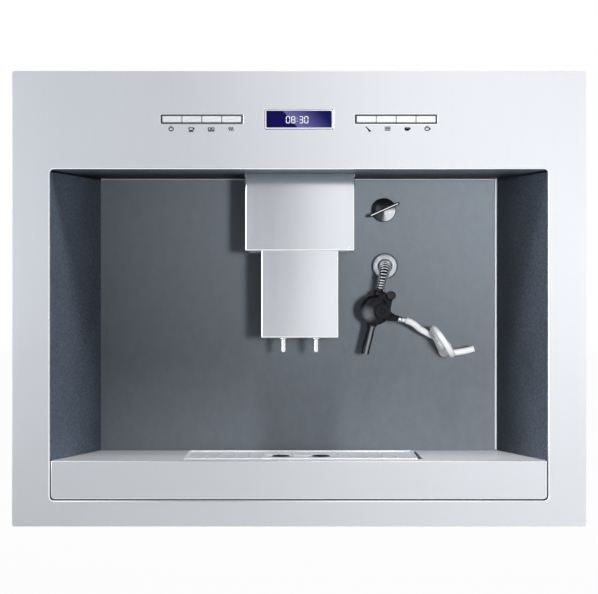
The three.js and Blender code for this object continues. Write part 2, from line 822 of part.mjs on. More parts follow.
function springGeometry(points) {
  const places = [];
  const corners = [];
  points.forEach(({ place, out }, i) => {
    const before = points[Math.max(i - 1, 0)].place;
    const after = points[Math.min(i + 1, points.length - 1)].place;
    const wireWay = after.clone().sub(before).normalize();
    const up = new THREE.Vector3().crossVectors(wireWay, out).normalize();
    for (let k = 0; k < wireSides; k += 1) {
      const angle = (k / wireSides) * 2 * Math.PI;
      const corner = place.clone().addScaledVector(out, springWire * Math.cos(angle));
      places.push(...corner.addScaledVector(up, springWire * Math.sin(angle)));
    }
  });
  const last = (points.length - 1) * wireSides;
  for (let i = 0; i < last; i += wireSides) {
    for (let k = 0; k < wireSides; k += 1) {
      const next = (k + 1) % wireSides;
      corners.push(i + k, i + next, i + wireSides + k);
      corners.push(i + next, i + wireSides + next, i + wireSides + k);
    }
  }
  for (let k = 1; k < wireSides - 1; k += 1) {
    corners.push(0, k + 1, k);
    corners.push(last, last + k, last + k + 1);
  }
  const geometry = new THREE.BufferGeometry();
  geometry.setAttribute("position", new THREE.Float32BufferAttribute(places, 3));
  geometry.setIndex(corners);
  return geometry;
}

function addWand(wand) {
  const pipeLine = new WandLine(ballReach, WandLine.lengthTo(pipeDrop));
  const ball = new THREE.SphereGeometry(ballRadius, 20, 12).translate(0, -ballReach, 0);
  const pipe = tubeAlong(pipeLine, pipeRadius, pipeSides, pipeSteps);
  piece(wand, "steam_pipe", join(ball, pipe), "chrome");

  const points = springPoints();
  const clear = leastGap(points, springWire);
  console.log(`steam_spring: least gap to itself ${clear.toFixed(2)} mm`);
  piece(wand, "steam_spring", springGeometry(points), "chrome");
}

function addEscutcheon(group) {
  const seat = ballRadius + seatGap;
  const dome = [
    [seat, 0],
    [escutcheonRadius, 0],
    [escutcheonRadius, escutcheonEdge],
    [shoulderRadius, escutcheonShoulder],
    [escutcheonFace, escutcheonHeight],
    [seat, escutcheonHeight],
    [seat, 0],
  ];
  piece(group, "steam_escutcheon", turnedOut(dome, wandX, nicheDepth - seatGap, wandZ, 32), "satinSteel");
}

// ---- Frother and milk hose ----

function addFrother(wand) {
  const half = drumDepth / 2;
  const edge = 2;
  const drum = turnedOut(
    [
      [0, -half],
      [drumRadius - edge, -half],
      [drumRadius, -half + edge],
      [drumRadius, half - edge],
      [drumRadius - edge, half],
      [0, half],
    ],
    0,
    -drumOut,
    -drumDrop,
    32,
  );
  const neckLength = drumDrop - neckDrop;
  const neck = turnedUp(rod(neckRadius, neckLength), 0, -drumOut, -drumDrop);
  const dialBoss = turnedOut(rod(dialRadius + seatGap, half), dialShift, -drumOut, -dialDrop);
  const web = block([0, dialShift], [-drumOut - half + edge, -drumOut], [-drumDrop, -dialDrop]);
  const outletFoot = -drumDrop - drumRadius - bossReach;
  const outletBoss = turnedUp(rod(outletRadius + 1, drumDrop), 0, -drumOut, outletFoot);
  const nippleBoss = turnedRight(rod(nippleRadius + 1, drumRadius + bossReach), 0, -drumOut, -nippleDrop);
  const pipeSeat = turnedUp(rod(pipeRadius + seatGap, pipeDrop), 0, -drumOut, -pipeDrop - seatGap);
  const body = cut(join(drum, neck, dialBoss, web, common(outletBoss, lowerHalf()), nippleBoss), pipeSeat);
  piece(wand, "frother_body", body, "blackGloss");

  const front = -drumOut - half - seatGap;
  const rim = 1;
  const cap = [
    [0, 0],
    [capRadius, 0],
    [capRadius, capHeight - rim],
    [capRadius - rim, capHeight],
    [0, capHeight],
  ];
  piece(wand, "frother_cap", turnedOut(cap, capShift, front, -drumDrop), "blackGloss");
  const dial = turnedOut(rod(dialRadius, dialHeight), dialShift, front, -dialDrop, 16);
  piece(wand, "froth_dial", dial, "blackPlastic");

  const outletTop = outletFoot - seatGap;
  const outlet = turnedUp(rod(outletRadius, outletLength), 0, -drumOut, outletTop - outletLength);
  const bore = turnedUp(rod(outletBore, outletLength), 0, -drumOut, outletTop - 1.5 * outletLength);
  piece(wand, "frother_outlet", cut(outlet, bore), "blackGloss");

  const slim = 0.7 * nippleRadius;
  const barb = nippleLength / 8;
  const nipple = [
    [0, 0],
    [nippleRadius, 0],
    [slim, nippleLength / 2],
    [nippleRadius, nippleLength / 2],
    [slim, nippleLength / 2 + barb],
    [nippleRadius, nippleLength / 2 + barb],
    [slim, nippleLength / 2 + 2 * barb],
    [slim, nippleLength],
    [0, nippleLength],
  ];
  const nippleX = drumRadius + bossReach + seatGap;
  piece(wand, "milk_nipple", turnedRight(nipple, nippleX, -drumOut, -nippleDrop, 20), "blackGloss");
  addHose(wand, nippleX + nippleLength + seatGap);
}

// The part of space below the drum's middle, so that a boss stays out of the neck.
function lowerHalf() {
  const reach = 2 * drumRadius;
  return block([-reach, reach], [-drumOut - reach, -drumOut + reach], [-drumDrop - 2 * reach, -drumDrop]);
}

function loopPoints() {
  const [firstTurn, lastTurn] = loopTurns;
  const longWay = [Math.cos(loopTilt * degrees), -Math.sin(loopTilt * degrees)];
  const sideWay = [-longWay[1], longWay[0]];
  return Array.from({ length: loopPlaces + 1 }, (_, i) => {
    const share = i / loopPlaces;
    const turn = firstTurn + (lastTurn - firstTurn) * share;
    const opening = Math.max(0, (turn - loopOpensAt) / (lastTurn - loopOpensAt));
    const radius = loopRadius + loopSpread * opening;
    const along = radius * Math.cos(turn * degrees);
    const step = loopPitch * (0.5 - share);
    return new THREE.Vector3(
      loopX + longWay[0] * along + sideWay[0] * step,
      -loopOut - radius * Math.sin(turn * degrees),
      -loopDrop + longWay[1] * along + sideWay[1] * step,
    );
  });
}

function addHose(wand, startX) {
  const set = ([x, out, z]) => new THREE.Vector3(x, -out, z);
  const route = new THREE.CatmullRomCurve3(
    [
      new THREE.Vector3(startX, -drumOut, -nippleDrop),
      new THREE.Vector3(startX + hoseRadius / 2, -drumOut, -nippleDrop),
      ...hoseStartRun.map(set),
      ...loopPoints(),
      ...hoseEndRun.map(set),
    ],
    false,
    "centripetal",
  );
  console.log(`milk_hose: ${route.getLength().toFixed(0)} mm long`);
  piece(wand, "milk_hose", tubeAlong(route, hoseRadius, hoseSides, hoseSteps), "silicone");
}

// ---- Drawer ----

function addDrawer(group) {
  const half = openingHalf - drawerGap;
  const bottom = openingBottom + drawerGap;
  const frontFace = roundedBlock([-half, half], [0, drawerReturn], [bottom, deckTop], openingCorner);
  const squareTop = block([-half, half], [0, drawerReturn], [deckTop - 2 * openingCorner, deckTop]);
  const hollow = block(
    [-half + fasciaSkin, half - fasciaSkin],
    [fasciaSkin, drawerReturn + 1],
    [bottom + fasciaSkin, deckTop + 1],
  );
  const deckRoom = block([-half - 1, half + 1], [fasciaSkin, drawerReturn + 1], [drawerTop, deckTop + 1]);
  piece(group, "drawer_front", cut(join(frontFace, squareTop), hollow, deckRoom), "satinSteel");

  const gridXs = span(gridX, gridWidth);
  const gridYs = run(gridSetback, gridDepth);
  const grow = (edges, amount) => [edges[0] - amount, edges[1] + amount];
  const wellXs = grow([gridXs[0], gridXs[1] + liftSlotWidth], seatGap);
  const wellYs = grow(gridYs, seatGap);
  const deck = block([-half, half], [fasciaSkin + seatGap, nicheDepth - seatGap], [deckUnderside, deckTop]);
  piece(group, "drawer_deck", cut(deck, block(wellXs, wellYs, [0, deckTop + 1])), "satinSteel");

  const gridZs = [deckTop - gridThickness, deckTop];
  const through = grow(gridZs, 1);
  const columnXs = Array.from(
    { length: gridColumns },
    (_, i) => gridX + (i - (gridColumns - 1) / 2) * gridPitch,
  );
  const middleY = (gridYs[0] + gridYs[1]) / 2;
  const drainXs = sides.map(([, side]) => gridX + (side * drainSpacing) / 2);
  const rowYs = Array.from(
    { length: perforationRows },
    (_, i) => middleY + (i - (perforationRows - 1) / 2) * perforationPitch,
  );
  const clearOfDrains = (x, y) =>
    drainXs.every((drainX) => {
      const away = Math.hypot(x - drainX, Math.max(0, Math.abs(y - drainSetback) - perforationLength / 2));
      return away > drainRadius + perforationWidth;
    });
  const slots = columnXs.flatMap((x) =>
    rowYs
      .filter((y) => clearOfDrains(x, y))
      .map((y) => block(span(x, perforationWidth), span(y, perforationLength), through)),
  );
  const drains = drainXs.map((x) =>
    turnedUp(rod(drainRadius, gridThickness + 2), x, drainSetback, through[0], 16),
  );
  piece(group, "drip_grid", cut(block(gridXs, gridYs, gridZs), ...slots, ...drains), "satinSteel");

  const trayYs = run(drawerReturn + seatGap, trayLength);
  const trayXs = span(0, trayWidth);
  const trayRoom = block(grow(trayXs, -plastic), grow(trayYs, -plastic), [trayBottom + plastic, deckTop]);
  piece(group, "drawer_tray", cut(block(trayXs, trayYs, [trayBottom, drawerTop]), trayRoom), "blackPlastic");

  const floor = trayBottom + plastic + seatGap;
  const basinXs = grow(wellXs, basinWall);
  const basinYs = [trayYs[0] + plastic + seatGap, gridYs[1] + basinWall];
  const basinZs = [floor, drawerTop];
  const gridSeat = block(wellXs, wellYs, [gridZs[0] - seatGap, deckTop]);
  const water = block(grow(wellXs, -ledge), grow(wellYs, -ledge), [floor + plastic, deckTop]);
  piece(group, "drip_basin", cut(block(basinXs, basinYs, basinZs), gridSeat, water), "blackPlastic");

  const binXs = span(0, binWidth);
  const binYs = run(binSetback, binLength);
  const binRoom = block(grow(binXs, -plastic), grow(binYs, -plastic), [floor + plastic, deckTop]);
  piece(group, "grounds_bin", cut(block(binXs, binYs, basinZs), binRoom), "blackPlastic");
}

// ---- Machinery ----

function addBrewUnit(group) {
  const middleY = brewSetback + brewDepth / 2;
  const zs = run(standing, brewHeight);
  const chamberFloor = zs[1] - chamberDepth;
  const housing = block(span(0, brewWidth), run(brewSetback, brewDepth), zs);
  const chamber = turnedUp(rod(chamberRadius, chamberDepth + 1), 0, middleY, chamberFloor);
  const chute = block(span(0, chuteWidth), span(middleY, chuteDepth), [0, zs[0] + chamberDepth / 2]);
  piece(group, "brew_unit", cut(housing, chamber, chute), "blackPlastic");

  const headRadius = chamberRadius - runGap;
  const piston = [
    [0, 0],
    [headRadius, 0],
    [headRadius, pistonHead],
    [pistonRod, pistonHead],
    [pistonRod, pistonHead + pistonRodLength],
    [0, pistonHead + pistonRodLength],
  ];
  piece(group, "brew_piston", turnedUp(piston, 0, middleY, chamberFloor + seatGap), "greyPlastic");
}

function addGrinder(group) {
  const motorHeight = motorTop - standing;
  const height = grinderTop - standing;
  const seatFloor = height - burrSeatDepth;
  const housing = [
    [0, 0],
    [motorRadius, 0],
    [motorRadius, motorHeight],
    [grinderRadius, motorHeight + grinderRadius - motorRadius],
    [grinderRadius, height],
    [burrSeatRadius, height],
    [burrSeatRadius, seatFloor],
    [0, seatFloor],
  ];
  piece(group, "grinder_housing", turnedUp(housing, 0, grinderSetback, standing), "greyPlastic");
  const shaft = burrRadius / 3;
  const burr = [[0, 0], [burrRadius, 0], [burrRadius, burrHeight / 4], [shaft, burrHeight], [0, burrHeight]];
  const burrFoot = standing + seatFloor + seatGap;
  piece(group, "grinder_burr", turnedUp(burr, 0, grinderSetback, burrFoot, 16), "zincSheet");
}

function addHopper(group) {
  const zs = [grinderTop + seatGap, casingTop - sheet - seatGap];
  const outer = block(span(0, hopperWidth), span(grinderSetback, hopperDepth), zs);
  const beans = block(
    span(0, hopperWidth - 2 * plastic),
    span(grinderSetback, hopperDepth - 2 * plastic),
    [zs[0] + plastic, zs[1] + 1],
  );
  const mouth = block(span(0, hopperMouth), span(grinderSetback, hopperMouth), [zs[0] - 1, zs[1]]);
  piece(group, "bean_hopper", cut(outer, beans, mouth), "clearPlastic");

  const lidZs = run(casingTop + seatGap, lidThickness);
  const lidXs = span(0, hopperWidth + 2 * lidLap);
  const lidYs = span(grinderSetback, hopperDepth + 2 * lidLap);
  const finger = block(span(0, hopperMouth), [lidYs[0] - lidLap, lidYs[0] + 1], lidZs);
  piece(group, "bean_lid", join(block(lidXs, lidYs, lidZs), finger), "greyPlastic");
}

function addTank(group) {
  const xs = span(tankX, tankWidth);
  const ys = run(tankSetback, tankDepth);
  const zs = [standing, casingTop - tankHeadroom];
  const water = block(
    [xs[0] + tankWall, xs[1] - tankWall],
    [ys[0] + tankWall, ys[1] - tankWall],
    [zs[0] + tankWall, zs[1] + 1],
  );
  const grip = block(xs, span((ys[0] + ys[1]) / 2, tankGripWidth), [zs[1] - 2 * tankWall, zs[1]]);
  piece(group, "water_tank", join(cut(block(xs, ys, zs), water), grip), "clearPlastic");
}

function addBoilerAndPump(group) {
  const flange = 6;
  const boiler = [
    [0, 0],
    [boilerRadius, 0],
    [boilerRadius, flange],
    [boilerRadius - flange, flange],
    [boilerRadius - flange, boilerHeight - flange],
    [boilerRadius / 2, boilerHeight],
    [0, boilerHeight],
  ];
  piece(group, "boiler", turnedUp(boiler, boilerX, boilerSetback, standing), "chrome");

  const coilZ = standing + pumpRadius;
  const coil = turnedRight(rod(pumpRadius, pumpLength), pumpX - pumpLength / 2, pumpSetback, coilZ);
  const foot = block(span(pumpX, pumpLength), span(pumpSetback, pumpFootDepth), run(standing, pumpRadius));
  piece(group, "pump", join(coil, foot), "blackPlastic");
}

function addInlet(group) {
  const ys = [bodyDepth - inletDepth, bodyDepth];
  const zs = span(inletZ, inletHeight);
  const socket = block(
    span(inletX, inletWidth - 4 * plastic),
    [ys[0] + 2 * plastic, ys[1] + 1],
    span(inletZ, inletHeight - 3 * plastic),
  );
  const flangeYs = [bodyDepth - sheet - seatGap - plastic, bodyDepth - sheet - seatGap];
  const flange = block(
    span(inletX, inletWidth + 4 * plastic),
    flangeYs,
    span(inletZ, inletHeight + 4 * plastic),
  );
  const pins = [-1, 0, 1].map((place) =>
    block(
      span(inletX + place * pinPitch, pinSize),
      [ys[0] + plastic, ys[1] - 2 * plastic],
      span(inletZ, 2 * pinSize),
    ),
  );
  const shell = cut(join(block(span(inletX, inletWidth), ys, zs), flange), socket);
  piece(group, "power_inlet", join(shell, ...pins), "blackPlastic");
}

// ---- Assembly ----

const coffeeMachine = new THREE.Group();
coffeeMachine.position.y = -bodyDepth / 2;

addBase(coffeeMachine);
addCasing(coffeeMachine);
addFascia(coffeeMachine);
addCarrier(coffeeMachine);
addKeys(coffeeMachine);
addNiche(coffeeMachine);
addHead(coffeeMachine);
addSteamKnob(coffeeMachine);
addEscutcheon(coffeeMachine);

const steamWand = new THREE.Group();
steamWand.position.set(wandX, nicheDepth, wandZ);
steamWand.rotation.y = wandTilt * degrees;
addWand(steamWand);
addFrother(steamWand);
coffeeMachine.add(steamWand);

addDrawer(coffeeMachine);
addBrewUnit(coffeeMachine);
addGrinder(coffeeMachine);
addHopper(coffeeMachine);
addTank(coffeeMachine);
addBoilerAndPump(coffeeMachine);
addInlet(coffeeMachine);

export default coffeeMachine;
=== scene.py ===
import json
import math
from contextlib import contextmanager

import bmesh
import bpy
from mathutils import Matrix, Vector


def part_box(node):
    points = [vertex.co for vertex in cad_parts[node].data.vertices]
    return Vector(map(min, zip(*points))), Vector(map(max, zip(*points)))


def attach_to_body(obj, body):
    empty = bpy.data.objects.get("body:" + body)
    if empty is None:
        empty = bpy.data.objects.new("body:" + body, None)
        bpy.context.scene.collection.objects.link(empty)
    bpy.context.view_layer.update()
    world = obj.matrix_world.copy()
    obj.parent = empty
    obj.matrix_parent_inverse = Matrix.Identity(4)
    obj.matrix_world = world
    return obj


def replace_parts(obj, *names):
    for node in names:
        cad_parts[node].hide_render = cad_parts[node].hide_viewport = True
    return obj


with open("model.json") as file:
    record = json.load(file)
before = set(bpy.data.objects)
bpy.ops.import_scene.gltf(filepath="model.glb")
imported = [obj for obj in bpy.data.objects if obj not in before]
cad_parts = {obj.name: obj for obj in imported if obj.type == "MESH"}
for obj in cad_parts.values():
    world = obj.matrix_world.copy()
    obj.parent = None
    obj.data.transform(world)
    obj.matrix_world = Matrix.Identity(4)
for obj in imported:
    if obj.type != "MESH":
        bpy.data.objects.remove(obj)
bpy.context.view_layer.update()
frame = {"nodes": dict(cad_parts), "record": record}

bl_info = {
    "name": "Built-in Coffee Machine",
    "version": (1, 0, 0),
    "blender": (4, 5, 0),
    "location": "View3D > Sidebar > Coffee Machine",
    "description": "Dresses the coffee machine's solids with detailed pieces and finishes",
    "category": "Object",
}

# Sizes are in millimetres, in the part's own coordinates: x from the centre line, y behind the
# fascia's front face, z above the cabinet shelf. Lamps and finishes are placed in metres.
MM = 0.001
FASCIA_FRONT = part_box("fascia")[0].y
CASE = Matrix.Translation((0, FASCIA_FRONT, 0))
WAND_PLACE = (95, 120, 274)  # middle of the wand's ball, on the back panel
WAND_TILT = 13.5  # degrees, foot to the left
KNOB_PLACE = (94, 120, 336)  # middle of the steam knob, on the back panel


def stand(place, turn):
    """The frame of a piece that stands on the back panel, turned in its plane."""
    spot = Matrix.Translation(Vector(place) * MM)
    return CASE @ spot @ Matrix.Rotation(math.radians(turn), 4, "Y")


WAND = stand(WAND_PLACE, WAND_TILT)

FASCIA_X = (-297.5, 297.5)
FASCIA_Z = (2, 474)
FASCIA_DEPTH = 20
FACE = 0.1  # the visible face is this far behind the solid's, so that signs stay in the box
OPENING_X = (-258.25, 258.25)
OPENING_Z = (29, 372)
OPENING_CORNER = 4
NICHE_DEPTH = 120
NICHE_TOP = 372
DECK_TOP = 70
CONTROL_Z = 424
ROW_X = (-100.7, 100.7)
ROW_WIDTH = 84.4
ROW_HEIGHT = 8.6
KEY_PITCH = 20.625
DISPLAY_WIDTH = 70.5
DISPLAY_HEIGHT = 20.2
HEAD_X = 1
DRUM_OUT = 24  # the wand's lower run in front of its ball
# The painted highlight on the steam knob's face is centred at this angle.
KNOB_HIGHLIGHT_TURN = -42  # degrees, middle of the bright wedge on the steam knob
NEAR = 1e-5  # metres within which two places count as one


# ---- Settings a user would change ----


def setting(name, description, value, **options):
    return bpy.props.FloatProperty(name=name, description=description, default=value, **options)


def length_setting(name, description, value):
    return setting(name, description, value * MM, unit="LENGTH", precision=5)


def power_setting(name, description, value):
    return setting(name, description, value, unit="POWER")


def colour_setting(name, description, value):
    return bpy.props.FloatVectorProperty(
        name=name,
        description=description,
        default=linear(*value),
        subtype="COLOR",
        size=3,
        min=0,
        max=1,
    )


def linear(*levels):
    """Screen levels from 0 to 255 as linear colour."""
    shares = [level / 255 for level in levels]
    return tuple(s / 12.92 if s <= 0.04045 else ((s + 0.055) / 1.055) ** 2.4 for s in shares)


class SteelSettings(bpy.types.PropertyGroup):
    colour: colour_setting("Steel", "Colour of the satin steel", (219, 222, 227))
    edge: length_setting("Edge", "Width of the polished edges", 1.4)
    roughness: setting("Roughness", "Roughness of the satin steel", 0.3, subtype="FACTOR")


class PlasticSettings(bpy.types.PropertyGroup):
    black: colour_setting("Black", "Colour of the glossy black mouldings", (17, 18, 21))
    liner: colour_setting("Liner", "Colour of the niche's walls", (75, 83, 94))
    hose: colour_setting("Hose", "Colour of the milk hose", (247, 248, 249))


class WandSettings(bpy.types.PropertyGroup):
    wire: length_setting("Wire", "Radius of the spring's wire", 0.82)
    curls: bpy.props.IntProperty(name="Curls", description="Turns of the spring", default=13, min=4)


class StudioSettings(bpy.types.PropertyGroup):
    key_power: power_setting("Key light", "Power of the key light", 418)
    fill_power: power_setting("Rear lights", "Power of each rear light", 24)
    top_power: power_setting("Top light", "Power of the light above the front", 118)
    ambient: setting("Ambient", "Level of the light from all sides", 0.045, min=0)


# ---- Modelling ----


def nothing_selected():
    bpy.ops.object.select_all(action="DESELECT")


def focus(piece):
    nothing_selected()
    piece.select_set(True)
    bpy.context.view_layer.objects.active = piece


def pick(kind, test):
    """Selects those vertices, edges or faces of the piece in edit mode that pass the test."""
    bpy.ops.mesh.select_mode(type=kind)
    bpy.ops.mesh.select_all(action="DESELECT")
    mesh = bmesh.from_edit_mesh(bpy.context.object.data)
    parts = {"VERT": mesh.verts, "EDGE": mesh.edges, "FACE": mesh.faces}[kind]
    for part in [part for part in parts if test(part)]:
        part.select_set(True)
    mesh.select_flush_mode()
    bmesh.update_edit_mesh(bpy.context.object.data)


@contextmanager
def editing(piece):
    focus(piece)
    bpy.ops.object.mode_set(mode="EDIT")
    yield
    bpy.ops.object.mode_set(mode="OBJECT")


def settle(piece, home):
    """Moves a piece to its home, with its place in its mesh."""
    focus(piece)
    piece.matrix_world = home @ piece.matrix_world
    bpy.ops.object.transform_apply(location=True, rotation=True, scale=True)
    return piece


def named(name):
    piece = bpy.context.object
    piece.name = name
    piece.data.name = name
    return piece


def block(name, xs, ys, zs, home=CASE):
    low, high = Vector((xs[0], ys[0], zs[0])) * MM, Vector((xs[1], ys[1], zs[1])) * MM
    nothing_selected()
    bpy.ops.mesh.primitive_cube_add(size=1, location=(low + high) / 2, scale=high - low)
    return settle(named(name), home)


def span(middle, width):
    return (middle - width / 2, middle + width / 2)


def runs_along(edge, axis):
    way = (edge.verts[1].co - edge.verts[0].co).normalized()
    return abs(way[axis]) > 0.999


def bevel(width, segments, **settings):
    """Rounds the edges that are picked."""
    bpy.ops.mesh.bevel(offset=width * MM, segments=segments, affect="EDGES", **settings)


def pull(way):
    """Extrudes the faces that are picked."""
    bpy.ops.mesh.extrude_region_move(TRANSFORM_OT_translate={"value": way * MM})


def split(place, way):
    """Puts edges where a plane cuts the piece in edit mode."""
    bpy.ops.mesh.select_all(action="SELECT")
    bpy.ops.mesh.bisect(plane_co=place, plane_no=way)


def round_edges(piece, radius, test, segments=6):
    with editing(piece):
        pick("EDGE", test)
        bevel(radius, segments)


def rounded_block(name, xs, ys, zs, radius, home=CASE, axis=1, segments=6):
    piece = block(name, xs, ys, zs)
    round_edges(piece, radius, lambda edge: runs_along(edge, axis), segments)
    if home is not CASE:
        settle(piece, home @ CASE.inverted())
    return piece


def modify(piece, kind, **settings):
    focus(piece)
    modifier = piece.modifiers.new(kind, kind)
    for name, value in settings.items():
        setattr(modifier, name, value)
    bpy.ops.object.modifier_apply(modifier=modifier.name)


def discard(piece):
    bpy.data.objects.remove(piece, do_unlink=True)


def cut(piece, *tools):
    for tool in tools:
        modify(piece, "BOOLEAN", operation="DIFFERENCE", solver="EXACT", object=tool)
        discard(tool)


def unite(name, *pieces):
    nothing_selected()
    for piece in pieces:
        piece.select_set(True)
    bpy.context.view_layer.objects.active = pieces[0]
    bpy.ops.object.join()
    return named(name)


def smooth(piece, angle=35):
    focus(piece)
    bpy.ops.object.shade_smooth_by_angle(angle=math.radians(angle))


def room_for(piece, count=2):
    """Makes room for more materials than one. Which they are is said when the piece is attached."""
    while len(piece.data.materials) < count:
        piece.data.materials.append(finish_for("edge"))


def paint(piece, test, index=1):
    """Gives the faces that pass the test another of the piece's materials."""
    room_for(piece, index + 1)
    with editing(piece):
        pick("FACE", test)
        piece.active_material_index = index
        bpy.ops.object.material_slot_assign()


def soften(piece, width, segments=3, angle=30, polished=False):
    """Breaks the sharp edges and keeps the faces between them flat. Polished edges take the
    piece's second material."""
    if polished:
        room_for(piece)
    focus(piece)
    bpy.ops.object.shade_smooth()
    modify(
        piece,
        "BEVEL",
        width=width * MM,
        segments=segments,
        limit_method="ANGLE",
        angle_limit=math.radians(angle),
        miter_outer="MITER_ARC",
        material=1 if polished else -1,
    )
    modify(piece, "WEIGHTED_NORMAL", keep_sharp=True)


def outwards(piece):
    with editing(piece):
        bpy.ops.mesh.select_all(action="SELECT")
        bpy.ops.mesh.remove_doubles(threshold=1e-6)
        bpy.ops.mesh.normals_make_consistent(inside=False)


def closed(profile):
    """A ring's profile, which starts where it ends."""
    return [profile[-1], *profile]


def eased(profile, radius, steps=4):
    """A profile of [radius, height] points with its corners rounded."""
    points = [Vector(point) for point in profile]
    shaped = [points[0]]
    for before, corner, after in zip(points, points[1:], points[2:]):
        back, on = before - corner, after - corner
        reach = min(radius, 0.45 * back.length, 0.45 * on.length)
        start, end = corner + back.normalized() * reach, corner + on.normalized() * reach
        for i in range(steps + 1):
            t = i / steps
            shaped.append(start * (1 - t) ** 2 + corner * (2 * t * (1 - t)) + end * t**2)
    return shaped + [points[-1]]


TURNS = {
    "UP": Matrix.Identity(4),
    "DOWN": Matrix.Rotation(math.pi, 4, "X"),
    "OUT": Matrix.Rotation(math.pi / 2, 4, "X"),
    "IN": Matrix.Rotation(-math.pi / 2, 4, "X"),
    "RIGHT": Matrix.Rotation(math.pi / 2, 4, "Y"),
    "LEFT": Matrix.Rotation(-math.pi / 2, 4, "Y"),
}


def turned(name, profile, place, way="UP", sides=64, home=CASE):
    """Turns a profile of [radius, height] points, pulled up ring by ring from a circle. A profile
    that ends where it starts makes a ring, and any other is capped at both ends."""
    points = [tuple(point) for point in profile]
    ring = math.dist(points[0], points[-1]) < 1e-6
    nothing_selected()
    bpy.ops.mesh.primitive_circle_add(
        vertices=sides, radius=points[0][0] * MM, location=(0, 0, 0), fill_type="NOTHING"
    )
    piece = named(name)
    bpy.ops.object.mode_set(mode="EDIT")
    bpy.ops.mesh.select_all(action="SELECT")
    if not ring:
        bpy.ops.mesh.edge_face_add()
        bpy.ops.mesh.select_all(action="SELECT")
        bpy.ops.mesh.select_mode(type="EDGE")
    bpy.ops.transform.translate(value=(0, 0, points[0][1] * MM))
    for (radius, height), (next_radius, next_height) in zip(points, points[1:]):
        bpy.ops.mesh.extrude_edges_move(
            TRANSFORM_OT_translate={"value": (0, 0, (next_height - height) * MM)}
        )
        share = next_radius / radius
        level = (0, 0, next_height * MM)
        bpy.ops.transform.resize(value=(share, share, 1), center_override=level)
    if not ring:
        bpy.ops.mesh.edge_face_add()
    bpy.ops.object.mode_set(mode="OBJECT")
    outwards(piece)
    settle(piece, home @ Matrix.Translation(Vector(place) * MM) @ TURNS[way])
    smooth(piece)
    return piece


def line_curve(name, points, radius, sides):
    """A round wire or tube along points that are in metres."""
    data = bpy.data.curves.new(name, "CURVE")
    data.dimensions = "3D"
    data.bevel_depth = radius * MM
    data.bevel_resolution = sides // 4 - 1
    data.use_fill_caps = True
    line = data.splines.new("POLY")
    line.points.add(len(points) - 1)
    for spot, point in zip(line.points, points):
        spot.co = (*point, 1)
    wire = bpy.data.objects.new(name, data)
    bpy.context.scene.collection.objects.link(wire)
    focus(wire)
    bpy.ops.object.convert(target="MESH")
    piece = named(name)
    outwards(piece)
    smooth(piece, 50)
    return piece


def copied(piece, name, shift):
    twin = piece.copy()
    twin.data = piece.data.copy()
    twin.name = twin.data.name = name
    twin.data.transform(Matrix.Translation(Vector(shift) * MM))
    bpy.context.scene.collection.objects.link(twin)
    return twin


def twin_of(node, name):
    """A merged copy of a solid's mesh, free to be shaped."""
    solid = frame["nodes"][node]
    piece = solid.copy()
    piece.data = solid.data.copy()
    piece.parent = None
    piece.matrix_world = Matrix.Identity(4)
    for key in list(piece.keys()):
        del piece[key]
    piece.hide_render = piece.hide_viewport = False
    bpy.context.scene.collection.objects.link(piece)
    piece.name = piece.data.name = name
    with editing(piece):
        bpy.ops.mesh.select_all(action="SELECT")
        bpy.ops.mesh.customdata_custom_splitnormals_clear()
        bpy.ops.mesh.remove_doubles(threshold=2e-6)
        bpy.ops.mesh.dissolve_limited(angle_limit=math.radians(0.5))
    return piece


BODIES = {
    node: body for body, nodes in frame["record"]["behaviour"]["bodies"].items() for node in nodes
}


def attach(piece, finish, node):
    """Gives a finished piece its material or materials, and the body of the solid that carries it."""
    names = [finish] if isinstance(finish, str) else finish
    places = piece.data.materials
    while len(places) < len(names):
        places.append(None)
    for i, name in enumerate(names):
        places[i] = finish_for(name)
    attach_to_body(piece, BODIES[node])
    return piece


def stand_in(piece, finish, *nodes, slot=None):
    """Attaches a piece that is shown in place of these solids."""
    attach(piece, finish, nodes[0])
    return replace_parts(piece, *nodes)


def dress(finish, *nodes):
    for node in nodes:
        for place in frame["nodes"][node].material_slots:
            place.material = finish_for(finish)


def refine(finish, width, *nodes):
    """Shows softened copies in place of plain solids."""
    for node in nodes:
        piece = twin_of(node, node + "_dressed")
        soften(piece, width, segments=2)
        stand_in(piece, finish, node)


# ---- Materials ----

BRUSH_LINES = 1900  # per metre, across the brushed lines
BRUSH_LENGTHS = 9  # per metre, along them
# Place and radius of the painted sheen on the frother's drum.
SHEEN_PLACE = (-8.5, 34, -57)  # in the wand's own frame
SHEEN_RADIUS = 12.5
# Place and width of the painted highlight streak on the frother's outlet.
HIGHLIGHT_STREAK_PLACE = (0.9, 28, -80)
HIGHLIGHT_STREAK_WIDTH = 2.3


class Value:
    """A socket that takes part in expressions, each of which adds its Math nodes."""

    def __init__(self, finish, socket):
        self.finish = finish
        self.socket = socket

    def math(self, operation, *values):
        return self.finish.node("ShaderNodeMath", {"operation": operation}, values)

    def __add__(self, other):
        return self.math("ADD", self, other)

    __radd__ = __add__

    def __sub__(self, other):
        return self.math("SUBTRACT", self, other)

    def __rsub__(self, other):
        return self.math("SUBTRACT", other, self)

    def __mul__(self, other):
        return self.math("MULTIPLY", self, other)

    __rmul__ = __mul__

    def __abs__(self):
        return self.math("ABSOLUTE", self)


